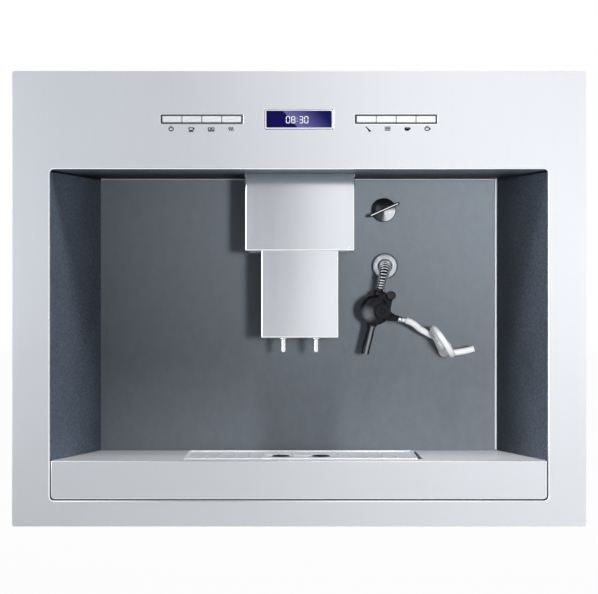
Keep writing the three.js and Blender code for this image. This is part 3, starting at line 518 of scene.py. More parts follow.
class Finish:
    """A material or world and the nodes that make it."""

    def __init__(self, owner):
        self.owner = owner
        self.owner.use_nodes = True
        self.tree = self.owner.node_tree
        self.tree.nodes.clear()

    def node(self, kind, settings=None, inputs=(), output=0):
        made = self.tree.nodes.new(kind)
        for key, value in (settings or {}).items():
            setattr(made, key, value)
        pairs = inputs.items() if isinstance(inputs, dict) else enumerate(inputs)
        for key, value in pairs:
            if isinstance(value, Value):
                self.tree.links.new(value.socket, made.inputs[key])
            else:
                made.inputs[key].default_value = value
        return Value(self, made.outputs[output]) if made.outputs else None

    def outputs(self, kind, names, inputs=()):
        """Several outputs of one node."""
        made = self.node(kind, None, inputs).socket.node
        return [Value(self, made.outputs[name]) for name in names]

    def spot(self):
        return self.node("ShaderNodeTexCoord", output="Object")

    def axes(self):
        return self.outputs("ShaderNodeSeparateXYZ", "XYZ", [self.spot()])

    def seen(self):
        """One for what the camera sees, also in metal or clear plastic, and zero for light."""
        names = ("Is Camera Ray", "Is Glossy Ray", "Is Transmission Ray")
        return sum(self.outputs("ShaderNodeLightPath", names))

    def vectors(self, operation, first, second, output=1):
        kind = {"operation": operation}
        return self.node("ShaderNodeVectorMath", kind, [first, second], output)

    def place(self, stretch=(1, 1, 1), turn=(0, 0, 0)):
        inputs = {"Vector": self.spot(), "Scale": stretch, "Rotation": turn}
        return self.node("ShaderNodeMapping", None, inputs)

    def noise(self, scale, detail=3, stretch=(1, 1, 1), roughness=0.5):
        inputs = {"Scale": scale, "Detail": detail, "Roughness": roughness}
        inputs["Vector"] = self.place(stretch)
        return self.node("ShaderNodeTexNoise", None, inputs)

    def brush_lines(self, along):
        stretch = [BRUSH_LINES] * 3
        stretch[along] = BRUSH_LENGTHS
        return self.noise(1, 2, stretch)

    def ramped(self, value, low=0.3, high=0.7, to_low=0, to_high=1):
        ends = {"From Min": low, "From Max": high, "To Min": to_low, "To Max": to_high}
        kind = {"interpolation_type": "SMOOTHSTEP"}
        return self.node("ShaderNodeMapRange", kind, {"Value": value, **ends})

    def blend(self, share, first, second):
        inputs = {0: share, 6: first, 7: second}
        return self.node("ShaderNodeMix", {"data_type": "RGBA"}, inputs, output=2)

    def between(self, share, colour, first, second):
        """One colour between two levels of it."""
        return self.blend(share, shade(colour, first), shade(colour, second))

    def bump(self, height, strength, distance):
        inputs = {"Height": height, "Strength": strength, "Distance": distance * MM}
        return self.node("ShaderNodeBump", None, inputs)

    def surface(self, **inputs):
        named_inputs = {key.replace("_", " "): value for key, value in inputs.items()}
        shader = self.node("ShaderNodeBsdfPrincipled", None, named_inputs)
        self.show(shader)

    def show(self, shader, kind="Material"):
        self.node("ShaderNodeOutput" + kind, None, {"Surface": shader})


def shade(colour, factor=1):
    return (*(min(1, level * factor) for level in colour), 1)


def brushed(finish, colour, roughness, along=2, spread=0.012, metallic=0.45):
    """Satin metal with hair-fine lines along one axis and faint large clouds."""
    lines, clouds = finish.brush_lines(along), finish.noise(7, 2)
    tone = finish.ramped(lines * 0.55 + clouds * 0.3 + finish.noise(900, 2) * 0.15)
    worn = lines * 0.5 + clouds * 0.5
    finish.surface(
        Base_Color=finish.between(tone, colour, 1 - spread, 1 + spread),
        Metallic=metallic,
        Roughness=finish.ramped(worn, 0.25, 0.75, roughness - 0.02, roughness + 0.02),
        Normal=finish.bump(lines, 0.02, 0.01),
    )


def polished(finish, colour, roughness):
    """Bright plated metal with faint wiping marks."""
    smears = finish.noise(60, 4, (1, 1, 2.5))
    worn = smears * 0.8 + finish.noise(1500, 1) * 0.2
    finish.surface(
        Base_Color=finish.between(smears, colour, 0.93, 1.04),
        Metallic=1.0,
        Roughness=finish.ramped(worn, 0.3, 0.7, roughness, roughness + 0.09),
        Normal=finish.bump(smears, 0.04, 0.05),
    )


def spun_with_painted_highlight(finish, colour):
    """Metal turned in circles, with a painted highlight: bright in one wedge and dark elsewhere,
    where a reflection would fall.
    """
    x, _, z = finish.axes()
    right, up = x - KNOB_PLACE[0] * MM, z - KNOB_PLACE[2] * MM
    away = abs(right.math("ARCTAN2", up, right) - math.radians(KNOB_HIGHLIGHT_TURN))
    rings = finish.noise(700, 2)
    # Painted highlight: the wedge stands in for a reflection on the knob's face; the rings are the
    # turned metal's own.
    bright = finish.ramped(away, 0.45, 1.15, 1, 0) * 0.9 + rings * 0.1
    finish.surface(
        Base_Color=finish.blend(bright, shade(linear(38, 40, 44)), shade(colour)),
        Metallic=0.9,
        Roughness=finish.ramped(rings, 0.3, 0.7, 0.16, 0.24),
    )


def glossy(finish, colour, pale, mark):
    """Plastic with a high gloss and fine wiping marks. A mark gives the share of the pale colour
    and what it adds to the roughness. The mark is real dust, except on the frother's drum and
    outlet, where it is a painted sheen and a painted highlight."""
    wipes = finish.noise(90, 4, (1, 1, 3))
    share, dulling = mark(finish, wipes)
    finish.surface(
        Base_Color=finish.blend(share, shade(colour), shade(pale)),
        Roughness=finish.ramped(wipes, 0.3, 0.75, 0.2, 0.3) + dulling,
        Specular_IOR_Level=0.22,
        Normal=finish.bump(wipes, 0.05, 0.05),
    )


def dust(finish, _):
    specks = finish.ramped(finish.noise(2400, 1), 0.72, 0.8)
    return specks * 0.5, specks * 0.2


def painted_sheen_patch(finish, wipes):
    """Painted sheen: paler on the lower left of the frother's drum."""
    reach = finish.vectors("DISTANCE", finish.spot(), tuple(wand_point(*SHEEN_PLACE)))
    return finish.ramped(reach, 1 * MM, SHEEN_RADIUS * MM, 1, 0) * (0.8 + wipes * 0.4), 0


def painted_highlight_streak(finish, wipes):
    """Painted highlight: a paler streak along the frother's outlet."""
    away = finish.vectors("SUBTRACT", finish.spot(), tuple(wand_point(*HIGHLIGHT_STREAK_PLACE)), 0)
    side = WAND.to_3x3() @ Vector((1, 0, 0))
    across = abs(finish.vectors("DOT_PRODUCT", away, tuple(side)))
    return finish.ramped(across, 0.2 * MM, HIGHLIGHT_STREAK_WIDTH * MM, 1, 0) * (0.7 + wipes * 0.4), 0


def moulded(finish, colour, roughness, grain=1400, depth=0.25, specular=0.4):
    """Plastic or paint with a fine spark-eroded grain."""
    fine = finish.noise(grain)
    tone = fine * 0.7 + finish.noise(18, 2) * 0.3
    finish.surface(
        Base_Color=finish.between(finish.ramped(tone), colour, 0.86, 1.14),
        Roughness=finish.ramped(tone, 0.3, 0.7, roughness - 0.07, roughness + 0.07),
        Specular_IOR_Level=specular,
        Normal=finish.bump(fine, depth, 0.05),
    )


def liner_with_painted_shade(finish, colour):
    """Grainy dark paint with painted shade: darker towards the back of the niche, darker on the
    right wall than the left, darker towards the back of the ceiling, and a dark strip of painted
    shade on the walls just below the ceiling.
    """
    across, depth, up = finish.axes()
    back, top = FASCIA_FRONT + NICHE_DEPTH * MM, NICHE_TOP * MM
    # Painted shade: darker deeper in the niche and on the right wall, and towards the back of the
    # ceiling.
    wall = finish.ramped(depth, FASCIA_FRONT, back, 0.6, 0.06)
    wall += finish.ramped(across, -0.2, 0.2, 0.3, 0)
    roof = finish.ramped(depth, FASCIA_FRONT, back, 0.98, -0.3)
    over = finish.ramped(up, top - 0.6 * MM, top - 0.1 * MM)
    # Painted shade in the corner just below the ceiling.
    above_gap = finish.ramped(up, top - 3.2 * MM, top - 2.2 * MM)
    corner_shade = above_gap * finish.ramped(up, top - 0.1 * MM, top - 0.8 * MM)
    painted_shade = wall * (1 - over) + roof * over - corner_shade * 0.9
    grain = finish.noise(520, 3, roughness=0.75)
    speckle = finish.ramped(grain * 0.85 + finish.noise(18, 2) * 0.15, 0.38, 0.64) - 0.5
    finish.surface(
        Base_Color=finish.between(painted_shade + speckle * (painted_shade * 0.6 + 0.08), colour, 0.12, 3.6),
        Roughness=finish.ramped(grain, 0.3, 0.7, 0.45, 0.6),
        Specular_IOR_Level=0.15,
        Normal=finish.bump(grain, 0.2, 0.05),
    )


def deck_with_painted_shade(finish, colour):
    """Brushed steel with painted shade: darker towards the back of the niche and towards the left,
    and with its grain.
    """
    lines, clouds = finish.brush_lines(0), finish.noise(7, 2)
    across, depth, _ = finish.axes()
    # Painted shade towards the back and the left; the last term is the steel's own grain.
    painted_shade_and_grain = finish.ramped(depth, FASCIA_FRONT + 0.02, FASCIA_FRONT + 0.12, 0, 0.75)
    painted_shade_and_grain += finish.ramped(across, 0.24, -0.12, 0, 0.42)
    painted_shade_and_grain += (lines * 0.6 + clouds * 0.4 - 0.5) * 0.12
    finish.surface(
        Base_Color=finish.between(painted_shade_and_grain, colour, 1, 0.55),
        Roughness=finish.ramped(lines * 0.5 + clouds * 0.5, 0.25, 0.75, 0.32, 0.36),
        Normal=finish.bump(lines, 0.02, 0.01),
    )


def pearly_with_painted_light(finish, colour):
    """Paint with metal flakes, as on the niche's back panel, with painted light that makes it paler
    towards its top.
    """
    grain = finish.noise(1300, 3, roughness=0.7)
    patches = finish.noise(130, 3, (1, 1, 0.6))
    up = finish.axes()[2]
    # Painted light: the height term makes the panel paler towards its top; the rest is the paint's
    # grain.
    tone = finish.ramped(grain * 0.65 + patches * 0.35) * 0.3 + finish.ramped(up, 0.1, 0.36, 0, 0.7)
    finish.surface(
        Base_Color=finish.between(tone, colour, 0.72, 1.24),
        Specular_IOR_Level=0.15,
        Roughness=finish.ramped(grain, 0.3, 0.7, 0.4, 0.52),
        Normal=finish.bump(grain, 0.25, 0.03),
    )


def galvanised(finish, colour):
    """Zinc-coated sheet with its crystal pattern and light scuffs."""
    cells = {"Vector": finish.place(), "Scale": 95.0}
    crystals = finish.node("ShaderNodeTexVoronoi", {"feature": "F1"}, cells, output="Color")
    grey = finish.node("ShaderNodeRGBToBW", None, {"Color": crystals})
    scuffs = finish.noise(1, 2, (14, 14, 900))
    tone = grey * 0.5 + finish.noise(60) * 0.35 + scuffs * 0.15
    finish.surface(
        Base_Color=finish.between(finish.ramped(tone, 0.2, 0.8), colour, 0.84, 1.12),
        Metallic=0.85,
        Roughness=finish.ramped(grey * 0.6 + scuffs * 0.4, 0.1, 0.9, 0.36, 0.52),
        Normal=finish.bump(grey, 0.08, 0.1),
    )


def silicone(finish, colour):
    """Milky hose with a soft sheen and faint streaks."""
    streaks = finish.noise(240)
    tone = finish.ramped(finish.noise(45, 2) * 0.6 + streaks * 0.4)
    finish.surface(
        Base_Color=finish.between(tone, colour, 0.94, 1.03),
        Roughness=finish.ramped(streaks, 0.3, 0.7, 0.3, 0.42),
        Normal=finish.bump(streaks, 0.08, 0.1),
    )


def display_glass(finish, colour, pale):
    """Dark glass with a painted reflection: a paler diagonal stripe across it."""
    across, _, up = finish.axes()
    slant = across * (1 / MM) + (up * (1 / MM) - CONTROL_Z) * 0.9
    # Painted reflection: a paler diagonal stripe across the glass.
    painted_reflection = finish.ramped(slant, -9.5, -8.5) * (1 - finish.ramped(slant, -8.5, 34))
    rows = finish.noise(1, 1, (200, 1, 5200))
    finish.surface(
        Base_Color=finish.blend(painted_reflection * (0.75 + rows * 0.25), shade(colour), shade(pale)),
        Roughness=0.12 + rows * 0.05,
        Specular_IOR_Level=0.06,
    )


def glowing(finish, colour):
    """Lit display segments with the cells' slight unevenness."""
    tone = finish.between(finish.noise(1600, 1), colour, 0.9, 1)
    finish.surface(
        Base_Color=tone, Emission_Color=tone, Emission_Strength=0.35, Roughness=0.5
    )


def clear(finish, colour):
    """Clear moulded plastic with flow marks."""
    flow = finish.noise(40, 3, (1, 1, 0.4))
    finish.surface(
        Base_Color=finish.between(flow, colour, 0.95, 1.03),
        Roughness=finish.ramped(flow, 0.3, 0.7, 0.05, 0.14),
        Transmission_Weight=0.25,
        IOR=1.49,
        Normal=finish.bump(flow, 0.1, 0.1),
    )


def circuit_board(finish):
    """Green circuit board with its tracks under the lacquer."""
    tracks = {
        "Vector": finish.place((160, 1, 160), (math.pi / 2, 0, 0)),
        "Color1": shade(linear(24, 86, 50)),
        "Color2": shade(linear(30, 98, 58)),
        "Mortar": shade(linear(72, 140, 84)),
        "Scale": 1.0,
        "Mortar Size": 0.06,
    }
    grime = finish.noise(700, 2)
    finish.surface(
        Base_Color=finish.node("ShaderNodeTexBrick", {"offset": 0.5}, tracks),
        Roughness=finish.ramped(grime, 0.3, 0.7, 0.3, 0.45),
        Normal=finish.bump(grime, 0.1, 0.05),
    )


# ---- Finishes of this machine, made from their new Finish f and the settings s on first use ----

MAKERS = {
    "satin_steel": lambda f, s: brushed(f, s.steel.colour, s.steel.roughness),
    "satin_level": lambda f, s: brushed(f, s.steel.colour, s.steel.roughness, along=0),
    "head_steel": lambda f, s: brushed(f, s.steel.colour, 0.22, metallic=0.85),
    "side_steel": lambda f, s: brushed(f, s.steel.colour, 0.4, metallic=0.0),
    "grid_steel": lambda f, s: brushed(f, linear(226, 229, 233), 0.34, 0, metallic=0.0),
    "deck_steel": lambda f, s: deck_with_painted_shade(f, linear(246, 247, 250)),
    "rim_steel": lambda f, s: brushed(f, linear(249, 250, 252), 0.3, 0, metallic=0.05),
    "edge": lambda f, s: brushed(f, linear(252, 253, 254), 0.12, spread=0.01, metallic=0.92),
    # Dark metal: on the steam pipe it is painted shade.
    "dark_metal": lambda f, s: brushed(f, linear(58, 60, 64), 0.3, spread=0.05, metallic=0.9),
    "ring_metal": lambda f, s: brushed(f, linear(206, 209, 213), 0.26, metallic=0.6),
    "spout_metal": lambda f, s: brushed(f, linear(236, 238, 241), 0.14, metallic=0.97),
    "silver": lambda f, s: brushed(f, linear(242, 244, 247), 0.42, spread=0.02, metallic=0.25),
    "pale_rim": lambda f, s: brushed(f, linear(248, 249, 251), 0.35, spread=0.02, metallic=0.1),
    "brass": lambda f, s: brushed(f, linear(193, 158, 92), 0.32, metallic=1.0),
    "chrome": lambda f, s: polished(f, linear(232, 235, 238), 0.06),
    "knob_face": lambda f, s: spun_with_painted_highlight(f, linear(226, 229, 232)),
    "black_gloss": lambda f, s: glossy(f, s.plastic.black, linear(70, 72, 76), dust),
    "drum_gloss": lambda f, s: glossy(f, s.plastic.black, linear(116, 120, 127), painted_sheen_patch),
    "outlet_gloss": lambda f, s: glossy(f, s.plastic.black, linear(150, 154, 160), painted_highlight_streak),
    "black_plastic": lambda f, s: moulded(f, linear(30, 31, 34), 0.5),
    "grey_plastic": lambda f, s: moulded(f, linear(112, 117, 122), 0.5),
    "dark_plastic": lambda f, s: moulded(f, linear(74, 78, 84), 0.42),
    "print": lambda f, s: moulded(f, linear(12, 13, 15), 0.6, specular=0.05),
    "cast": lambda f, s: moulded(f, linear(160, 163, 166), 0.5, grain=500, depth=0.4),
    "liner": lambda f, s: liner_with_painted_shade(f, s.plastic.liner),
    "back_sheet": lambda f, s: pearly_with_painted_light(f, linear(126, 133, 141)),
    "zinc": lambda f, s: galvanised(f, linear(171, 175, 179)),
    "hose": lambda f, s: silicone(f, s.plastic.hose),
    "glass": lambda f, s: display_glass(f, linear(16, 16, 84), linear(104, 106, 162)),
    "digits": lambda f, s: glowing(f, linear(236, 238, 232)),
    "clear": lambda f, s: clear(f, linear(205, 216, 222)),
    "board": lambda f, s: circuit_board(f),
}


def finish_for(name):
    known = bpy.data.materials.get("made_" + name)
    if known is None:
        known = bpy.data.materials.new("made_" + name)
        MAKERS[name](Finish(known), bpy.context.scene.coffee_machine)
    return known


# ---- Camera and milk hose ----

CAMERA_PLACE = (0, -1.9485, 0.238)
CAMERA_LENS = 100.3
CAMERA_SHIFT = 0.0028

HOSE_RADIUS = 3.5
HOSE_WALL = 1.1
HOSE_START_RUN = [
    (35.4, 24, -53),
    (37.15, 24, -53),
    (40, 24, -53.3),
    (46, 22.8, -55.2),
    (52, 20.4, -58.2),
    (60, 17, -60.6),
    (68, 13.6, -62.3),
    (75.5, 11.4, -63.9),
]
HOSE_END_RUN = [
    (89.5, 12, -76.4),
    (94.8, 14.6, -75.2),
    (101, 16.6, -72.8),
    (108, 18, -69.6),
    (115.4, 19, -65.5),
]
LOOP_MIDDLE = (79.4, 27.5, -66.8)
LOOP_LEAN = 47.6  # degrees from level
LOOP_TURNS = (-66, 306)
LOOP_PLACES = 18
LOOP_RADIUS = 16.5
LOOP_PITCH = 8.4
LOOP_SPREAD = 5
LOOP_OPENS_AT = 150


def wand_point(x, out, z):
    """A point of the wand's own frame, which swings about its ball: right, outwards and up."""
    return WAND @ (Vector((x, -out, z)) * MM)


def loop_points():
    lean = math.radians(LOOP_LEAN)
    long_way = (math.cos(lean), -math.sin(lean))
    side_way = (-long_way[1], long_way[0])
    for i in range(LOOP_PLACES + 1):
        share = i / LOOP_PLACES
        turn = LOOP_TURNS[0] + (LOOP_TURNS[1] - LOOP_TURNS[0]) * share
        opening = max(0, (turn - LOOP_OPENS_AT) / (LOOP_TURNS[1] - LOOP_OPENS_AT))
        radius = LOOP_RADIUS + LOOP_SPREAD * opening
        along = radius * math.cos(math.radians(turn))
        step = LOOP_PITCH * (0.5 - share)
        yield (
            LOOP_MIDDLE[0] + long_way[0] * along + side_way[0] * step,
            LOOP_MIDDLE[1] + radius * math.sin(math.radians(turn)),
            LOOP_MIDDLE[2] + long_way[1] * along + side_way[1] * step,
        )


def flowing(points, steps):
    """Points on a centripetal spline through the given ones."""
    points = [Vector(point) for point in points]
    points = [2 * points[0] - points[1], *points, 2 * points[-1] - points[-2]]
    path = []
    for a, b, c, d in zip(points, points[1:], points[2:], points[3:]):
        before, here, after = ((q - p).length ** 0.5 for p, q in ((a, b), (b, c), (c, d)))
        leave = ((b - a) / before - (c - a) / (before + here) + (c - b) / here) * here
        arrive = ((c - b) / here - (d - b) / (here + after) + (d - c) / after) * here
        for i in range(steps):
            t = i / steps
            bend = (2 * b - 2 * c + leave + arrive) * t**3
            path.append(b + leave * t + (3 * c - 3 * b - 2 * leave - arrive) * t**2 + bend)
    return path + [points[-2]]


class COFFEE_OT_camera(bpy.types.Operator):
    """Camera at the photograph's place: level, in front of the machine's middle"""

    bl_idname = "coffee.camera"
    bl_label = "Camera"

    def execute(self, context):
        nothing_selected()
        bpy.ops.object.camera_add(location=CAMERA_PLACE, rotation=(math.pi / 2, 0, 0))
        camera = bpy.context.object
        camera.name = "front_camera"
        camera.data.lens = CAMERA_LENS
        camera.data.shift_y = CAMERA_SHIFT
        context.scene.camera = camera
        return {"FINISHED"}


class COFFEE_OT_milk_hose(bpy.types.Operator):
    """White hose from the milk nipple through its loop to the open free end"""

    bl_idname = "coffee.milk_hose"
    bl_label = "Milk Hose"

    def execute(self, context):
        route = flowing([*HOSE_START_RUN, *loop_points(), *HOSE_END_RUN], 6)
        path = [wand_point(*point) for point in route]
        hose = line_curve("milk_hose_tube", path, HOSE_RADIUS, 28)
        end, before = path[-1], path[-4]
        way = (end - before).normalized()

        def is_end(face):
            return len(face.verts) > 4 and (face.calc_center_median() - end).length < 0.3 * MM

        with editing(hose):
            pick("FACE", is_end)
            bpy.ops.mesh.inset(thickness=HOSE_WALL * MM)
            pull(-way * 6)
        soften(hose, 0.3, segments=2, angle=50)
        stand_in(hose, "hose", "milk_hose")
        return {"FINISHED"}


# ---- Fascia and controls ----

FASCIA_CORNER = 2.6
FASCIA_SHEET = 2
FASCIA_SEAMS = ((0, (1, 0, 0)), (200, (0, 0, 1)), (CONTROL_Z, (0, 0, 1)))
WINDOW_PLAY = 0.6
WINDOW_EDGE = 0.9
OUTER_EDGE = 0.5
LEVEL_WEIGHT = 80  # how far the broad faces decide the corner normals
CONTROL_AREA = (160, 20)  # half the width and height of the field with all windows
OPENING_REACH = 4  # edges of the opening lie no farther from its box


def window(name, middle, width, height, corner, ys=(-1, 25), segments=4):
    """A rounded block on the line of the controls."""
    xs, zs = span(middle, width), span(CONTROL_Z, height)
    return rounded_block(name, xs, ys, zs, corner, segments=segments)


def rim_group(edge):
    """Which rim of the fascia's face an edge lies on, if any."""
    front = FASCIA_FRONT + FACE * MM
    if any(abs(vert.co.y - front) > NEAR for vert in edge.verts):
        return None
    if edge.calc_face_angle(0) < math.radians(50):
        return None
    spots = [(abs(vert.co.x / MM), vert.co.z / MM) for vert in edge.verts]
    if all(x < CONTROL_AREA[0] and abs(z - CONTROL_Z) < CONTROL_AREA[1] for x, z in spots):
        return "window"
    side = OPENING_X[1] + OPENING_REACH
    low, high = OPENING_Z[0] - OPENING_REACH, OPENING_Z[1] + OPENING_REACH
    return "opening" if all(x < side and low < z < high for x, z in spots) else "outside"


class COFFEE_OT_fascia(bpy.types.Operator):
    """Folded steel front frame with its rounded corners, cup opening and control windows"""

    bl_idname = "coffee.fascia"
    bl_label = "Fascia"

    def execute(self, context):
        edge = context.scene.coffee_machine.steel.edge / MM
        sheet = (FACE, FASCIA_DEPTH)
        piece = rounded_block("fascia_frame", FASCIA_X, sheet, FASCIA_Z, FASCIA_CORNER)
        with editing(piece):
            for place, way in FASCIA_SEAMS:
                split([place * MM * part for part in way], way)
        inner_x, inner_z = (
            (low + FASCIA_SHEET, high - FASCIA_SHEET) for low, high in (FASCIA_X, FASCIA_Z)
        )
        row = (ROW_WIDTH + WINDOW_PLAY, ROW_HEIGHT + WINDOW_PLAY)
        display = (DISPLAY_WIDTH + WINDOW_PLAY, DISPLAY_HEIGHT + WINDOW_PLAY)
        cut(
            piece,
            block("pocket", inner_x, (FASCIA_SHEET, FASCIA_DEPTH + 1), inner_z),
            rounded_block("opening", OPENING_X, (-1, 5), OPENING_Z, OPENING_CORNER),
            *(window("row_window", x, *row, 1) for x in ROW_X),
            window("display_window", 0, *display, 1),
        )
        rims = (
            ("opening", edge, 4, 1),
            ("window", WINDOW_EDGE, 3, 1),
            ("outside", OUTER_EDGE, 3, -1),
        )
        room_for(piece)
        with editing(piece):
            for group, width, segments, material in rims:
                pick("EDGE", lambda part: rim_group(part) == group)
                bevel(width, segments, clamp_overlap=False, material=material)
        smooth(piece, 40)
        modify(piece, "WEIGHTED_NORMAL", keep_sharp=True, weight=LEVEL_WEIGHT)
        stand_in(piece, ["satin_steel", "edge"], "fascia")
        return {"FINISHED"}


SEGMENTS = {"0": "abcdef", "8": "abcdefg", "3": "abcdg"}
DIGIT_HEIGHT = 6.6
DIGIT_WIDTH = 3.5
DIGIT_DEPTH = (0.32, 0.42)
DIGIT_PLACES = (-11.4, -6, 2.2, 7.6)
DIGIT_MIDDLE = CONTROL_Z - 0.6
COLON_X = -1.9
STROKE = 0.75
STROKE_GAP = 0.5
# Width, height, corner radius, depths and corner steps
GLASS = (68.3, 18, 0.8, (0.45, 2), 6)
BEZEL = (70.3, 20, 1, (0.12, 2.2), 6)
BEZEL_HOLE = (67.9, 17.6, 0.7, (-1, 4), 4)
KEY = (19.8, 6.6, 0.5, (0.4, 6), 3)
KEY_FRAME = (ROW_WIDTH, ROW_HEIGHT, 1, (0.15, 1.4), 6)
KEY_FRAME_HOLE = (83.8, 8, 0.8, (-1, 3), 6)


def digit_bars():
    """One level and one upright bar, and the place of each of a digit's seven segments."""
    half, side = DIGIT_HEIGHT / 2, DIGIT_WIDTH / 2
    thin = span(0, STROKE)
    level = block("level_bar", span(0, DIGIT_WIDTH - STROKE_GAP), DIGIT_DEPTH, thin)
    upright = block("upright_bar", thin, DIGIT_DEPTH, span(0, half - STROKE_GAP))
    for bar in (level, upright):
        round_edges(bar, 0.3, lambda edge: runs_along(edge, 1), 2)
    places = {
        "a": (level, 0, half),
        "g": (level, 0, 0),
        "d": (level, 0, -half),
        "f": (upright, -side, half / 2),
        "b": (upright, side, half / 2),
        "e": (upright, -side, -half / 2),
        "c": (upright, side, -half / 2),
    }
    return level, upright, places


class COFFEE_OT_display(bpy.types.Operator):
    """Blue display glass in its pale rim, with lit time digits"""

    bl_idname = "coffee.display"
    bl_label = "Display"

    def execute(self, context):
        glass = window("display_glass", 0, *GLASS)
        soften(glass, 0.3)
        stand_in(glass, "glass", "display_window")
        rim = window("display_bezel", 0, *BEZEL)
        cut(rim, window("rim_hole", 0, *BEZEL_HOLE))
        soften(rim, 0.18)
        attach(rim, "pale_rim", "control_carrier")
        level, upright, places = digit_bars()
        bars = []
        for place, figure in zip(DIGIT_PLACES, "0830"):
            for letter in SEGMENTS[figure]:
                bar, x, z = places[letter]
                bars.append(copied(bar, "bar", (place + x, 0, DIGIT_MIDDLE + z)))
        dot = eased([(0.4, 0), (0.4, 0.1)], 0.03)
        for z in (-1.5, 1.5):
            place = (COLON_X, DIGIT_DEPTH[1], DIGIT_MIDDLE + z)
            bars.append(turned("dot", dot, place, "OUT", 12))
        discard(level)
        discard(upright)
        attach(unite("time_digits", *bars), "digits", "display_window")
        return {"FINISHED"}


class COFFEE_OT_keys(bpy.types.Operator):
    """Eight softly rounded silver keys in their two dark frames, and the board behind them"""

    bl_idname = "coffee.keys"
    bl_label = "Keys"

    def execute(self, context):
        cap = window("key_cap", 0, *KEY)
        with editing(cap):
            pick("FACE", lambda face: face.normal.y < -0.9)
            bpy.ops.mesh.inset(thickness=0.7 * MM)
            bpy.ops.transform.translate(value=(0, -0.02 * MM, 0))
        soften(cap, 0.35, segments=3, angle=40)
        for side, row in zip(("left", "right"), ROW_X):
            for i in range(4):
                node = f"key_{side}_{i + 1}"
                key = copied(cap, f"{node}_cap", (row + (i - 1.5) * KEY_PITCH, 0, 0))
                stand_in(key, "silver", node)
            surround = window(f"key_frame_{side}", row, *KEY_FRAME)
            cut(surround, window("row_hole", row, *KEY_FRAME_HOLE))
            soften(surround, 0.15)
            attach(surround, "dark_plastic", "control_carrier")
        discard(cap)
        dress("dark_plastic", "control_carrier")
        dress("board", "control_board")
        return {"FINISHED"}


def arc(radius, start, end, steps):
    for i in range(steps + 1):
        turn = math.radians(start + (end - start) * i / steps)
        yield (radius * math.cos(turn), radius * math.sin(turn))


def moved(line, x):
    return [(x + across, up) for across, up in line]


# Each sign is a list of strokes, in millimetres from its middle, and the half width of its lines.
CUP = [(-2.3, 1.1), (-2.1, -0.7), (-1.2, -1.7), (1.2, -1.7), (2.1, -0.7), (2.3, 1.1), (-2.3, 1.1)]
HANDLE = [(2.2, 0.7), (3.2, 0.6), (3.1, -0.5), (2, -0.7)]
BEAKER = [(-1.4, 1), (-1.1, -1.2), (1.1, -1.2), (1.4, 1), (-1.4, 1)]
PUFF = [(0, -2.2), (0.7, -1), (-0.5, 0.4), (0.2, 1.8)]
BRISTLES = [(1.1, -0.4), (0.1, -1.2), (1.6, -3), (2.9, -2)]
FILL = [[(-x, z), (x, z)] for x, z in ((2, 0), (1.8, -0.6), (1.5, -1.2))]
WAVE = [(x, (x % 2) * 0.3) for x in range(-3, 4)]
SIGNS = {
    "power": ([list(arc(2.2, 125, 415, 20)), [(0, 3), (0, 0.4)]], 0.64),
    "small_cup": ([CUP, HANDLE, [(-2.6, -2.6), (2.6, -2.6)]], 0.6),
    "two_cups": ([moved(BEAKER, -1.7), moved(BEAKER, 1.9), [(-3.3, -2.3), (3.5, -2.3)]], 0.6),
    "steam": ([moved(PUFF, x) for x in (-1.8, 0, 1.8)], 0.6),
    "brush": ([[(-2.6, 2.2), (0.2, -0.4)], [(0.2, -0.4), (2.4, -2.4)], BRISTLES], 0.64),
    "waves": ([[(x, rise + z) for x, z in WAVE] for rise in (-1.5, 0, 1.5)], 0.56),
    "half_cup": ([CUP, HANDLE, *FILL], 0.6),
    "large_cup": ([CUP, HANDLE, [(-0.8, 1.9), (-0.3, 2.9)], [(0.8, 1.9), (1.3, 2.9)]], 0.6),
}
SIGN_PLACES = (-132.5, -111.8, -91.1, -70.4, 71.6, 91.8, 112, 132.7)
SIGN_Z = 414
PRINT_HEIGHT = 0.07


class COFFEE_OT_signs(bpy.types.Operator):
    """Small plain pictograms printed under the keys"""

    bl_idname = "coffee.signs"
    bl_label = "Printed Signs"

    def execute(self, context):
        for (name, (strokes, radius)), place in zip(SIGNS.items(), SIGN_PLACES):
            wires = []
            for stroke in strokes:
                points = [CASE @ (Vector((place + x, 0, SIGN_Z + z)) * MM) for x, z in stroke]
                wires.append(line_curve("stroke", points, radius, 8))
            sign = unite(f"sign_{name}", *wires)
            flat = (1, PRINT_HEIGHT / radius, 1)
            with editing(sign):
                bpy.ops.mesh.select_all(action="SELECT")
                bpy.ops.transform.resize(value=flat, center_override=(0, FASCIA_FRONT, 0))
                bpy.ops.transform.translate(value=(0, FACE * MM, 0))
            attach(sign, "print", "fascia")
        return {"FINISHED"}


# ---- Niche ----

TRIM_X = (-219, 219)
TRIM_DEPTH = (117.6, 119.8)
TRIMS = (
    ("gasket_top", TRIM_X, (117.9, 119.8), (370.6, 371.8), "black_plastic", "black_plastic"),
    ("trim_top", TRIM_X, TRIM_DEPTH, (369.7, 370.6), "satin_level", "satin_steel"),
    ("trim_right", (216.6, 218.6), TRIM_DEPTH, (71, 369.6), "satin_steel", "satin_steel"),
)


class COFFEE_OT_niche(bpy.types.Operator):
    """Dark niche walls, pearl grey back panel, the thin bright trims along it and its dark seal"""

    bl_idname = "coffee.niche"
    bl_label = "Niche"

    def execute(self, context):
        dress("liner", "niche_liner")
        dress("back_sheet", "niche_back_panel")
        for name, xs, ys, zs, finish, slot in TRIMS:
            trim = block(name, xs, ys, zs)
            soften(trim, 0.25)
            attach(trim, finish, "niche_back_panel")
        return {"FINISHED"}


# ---- Coffee head ----

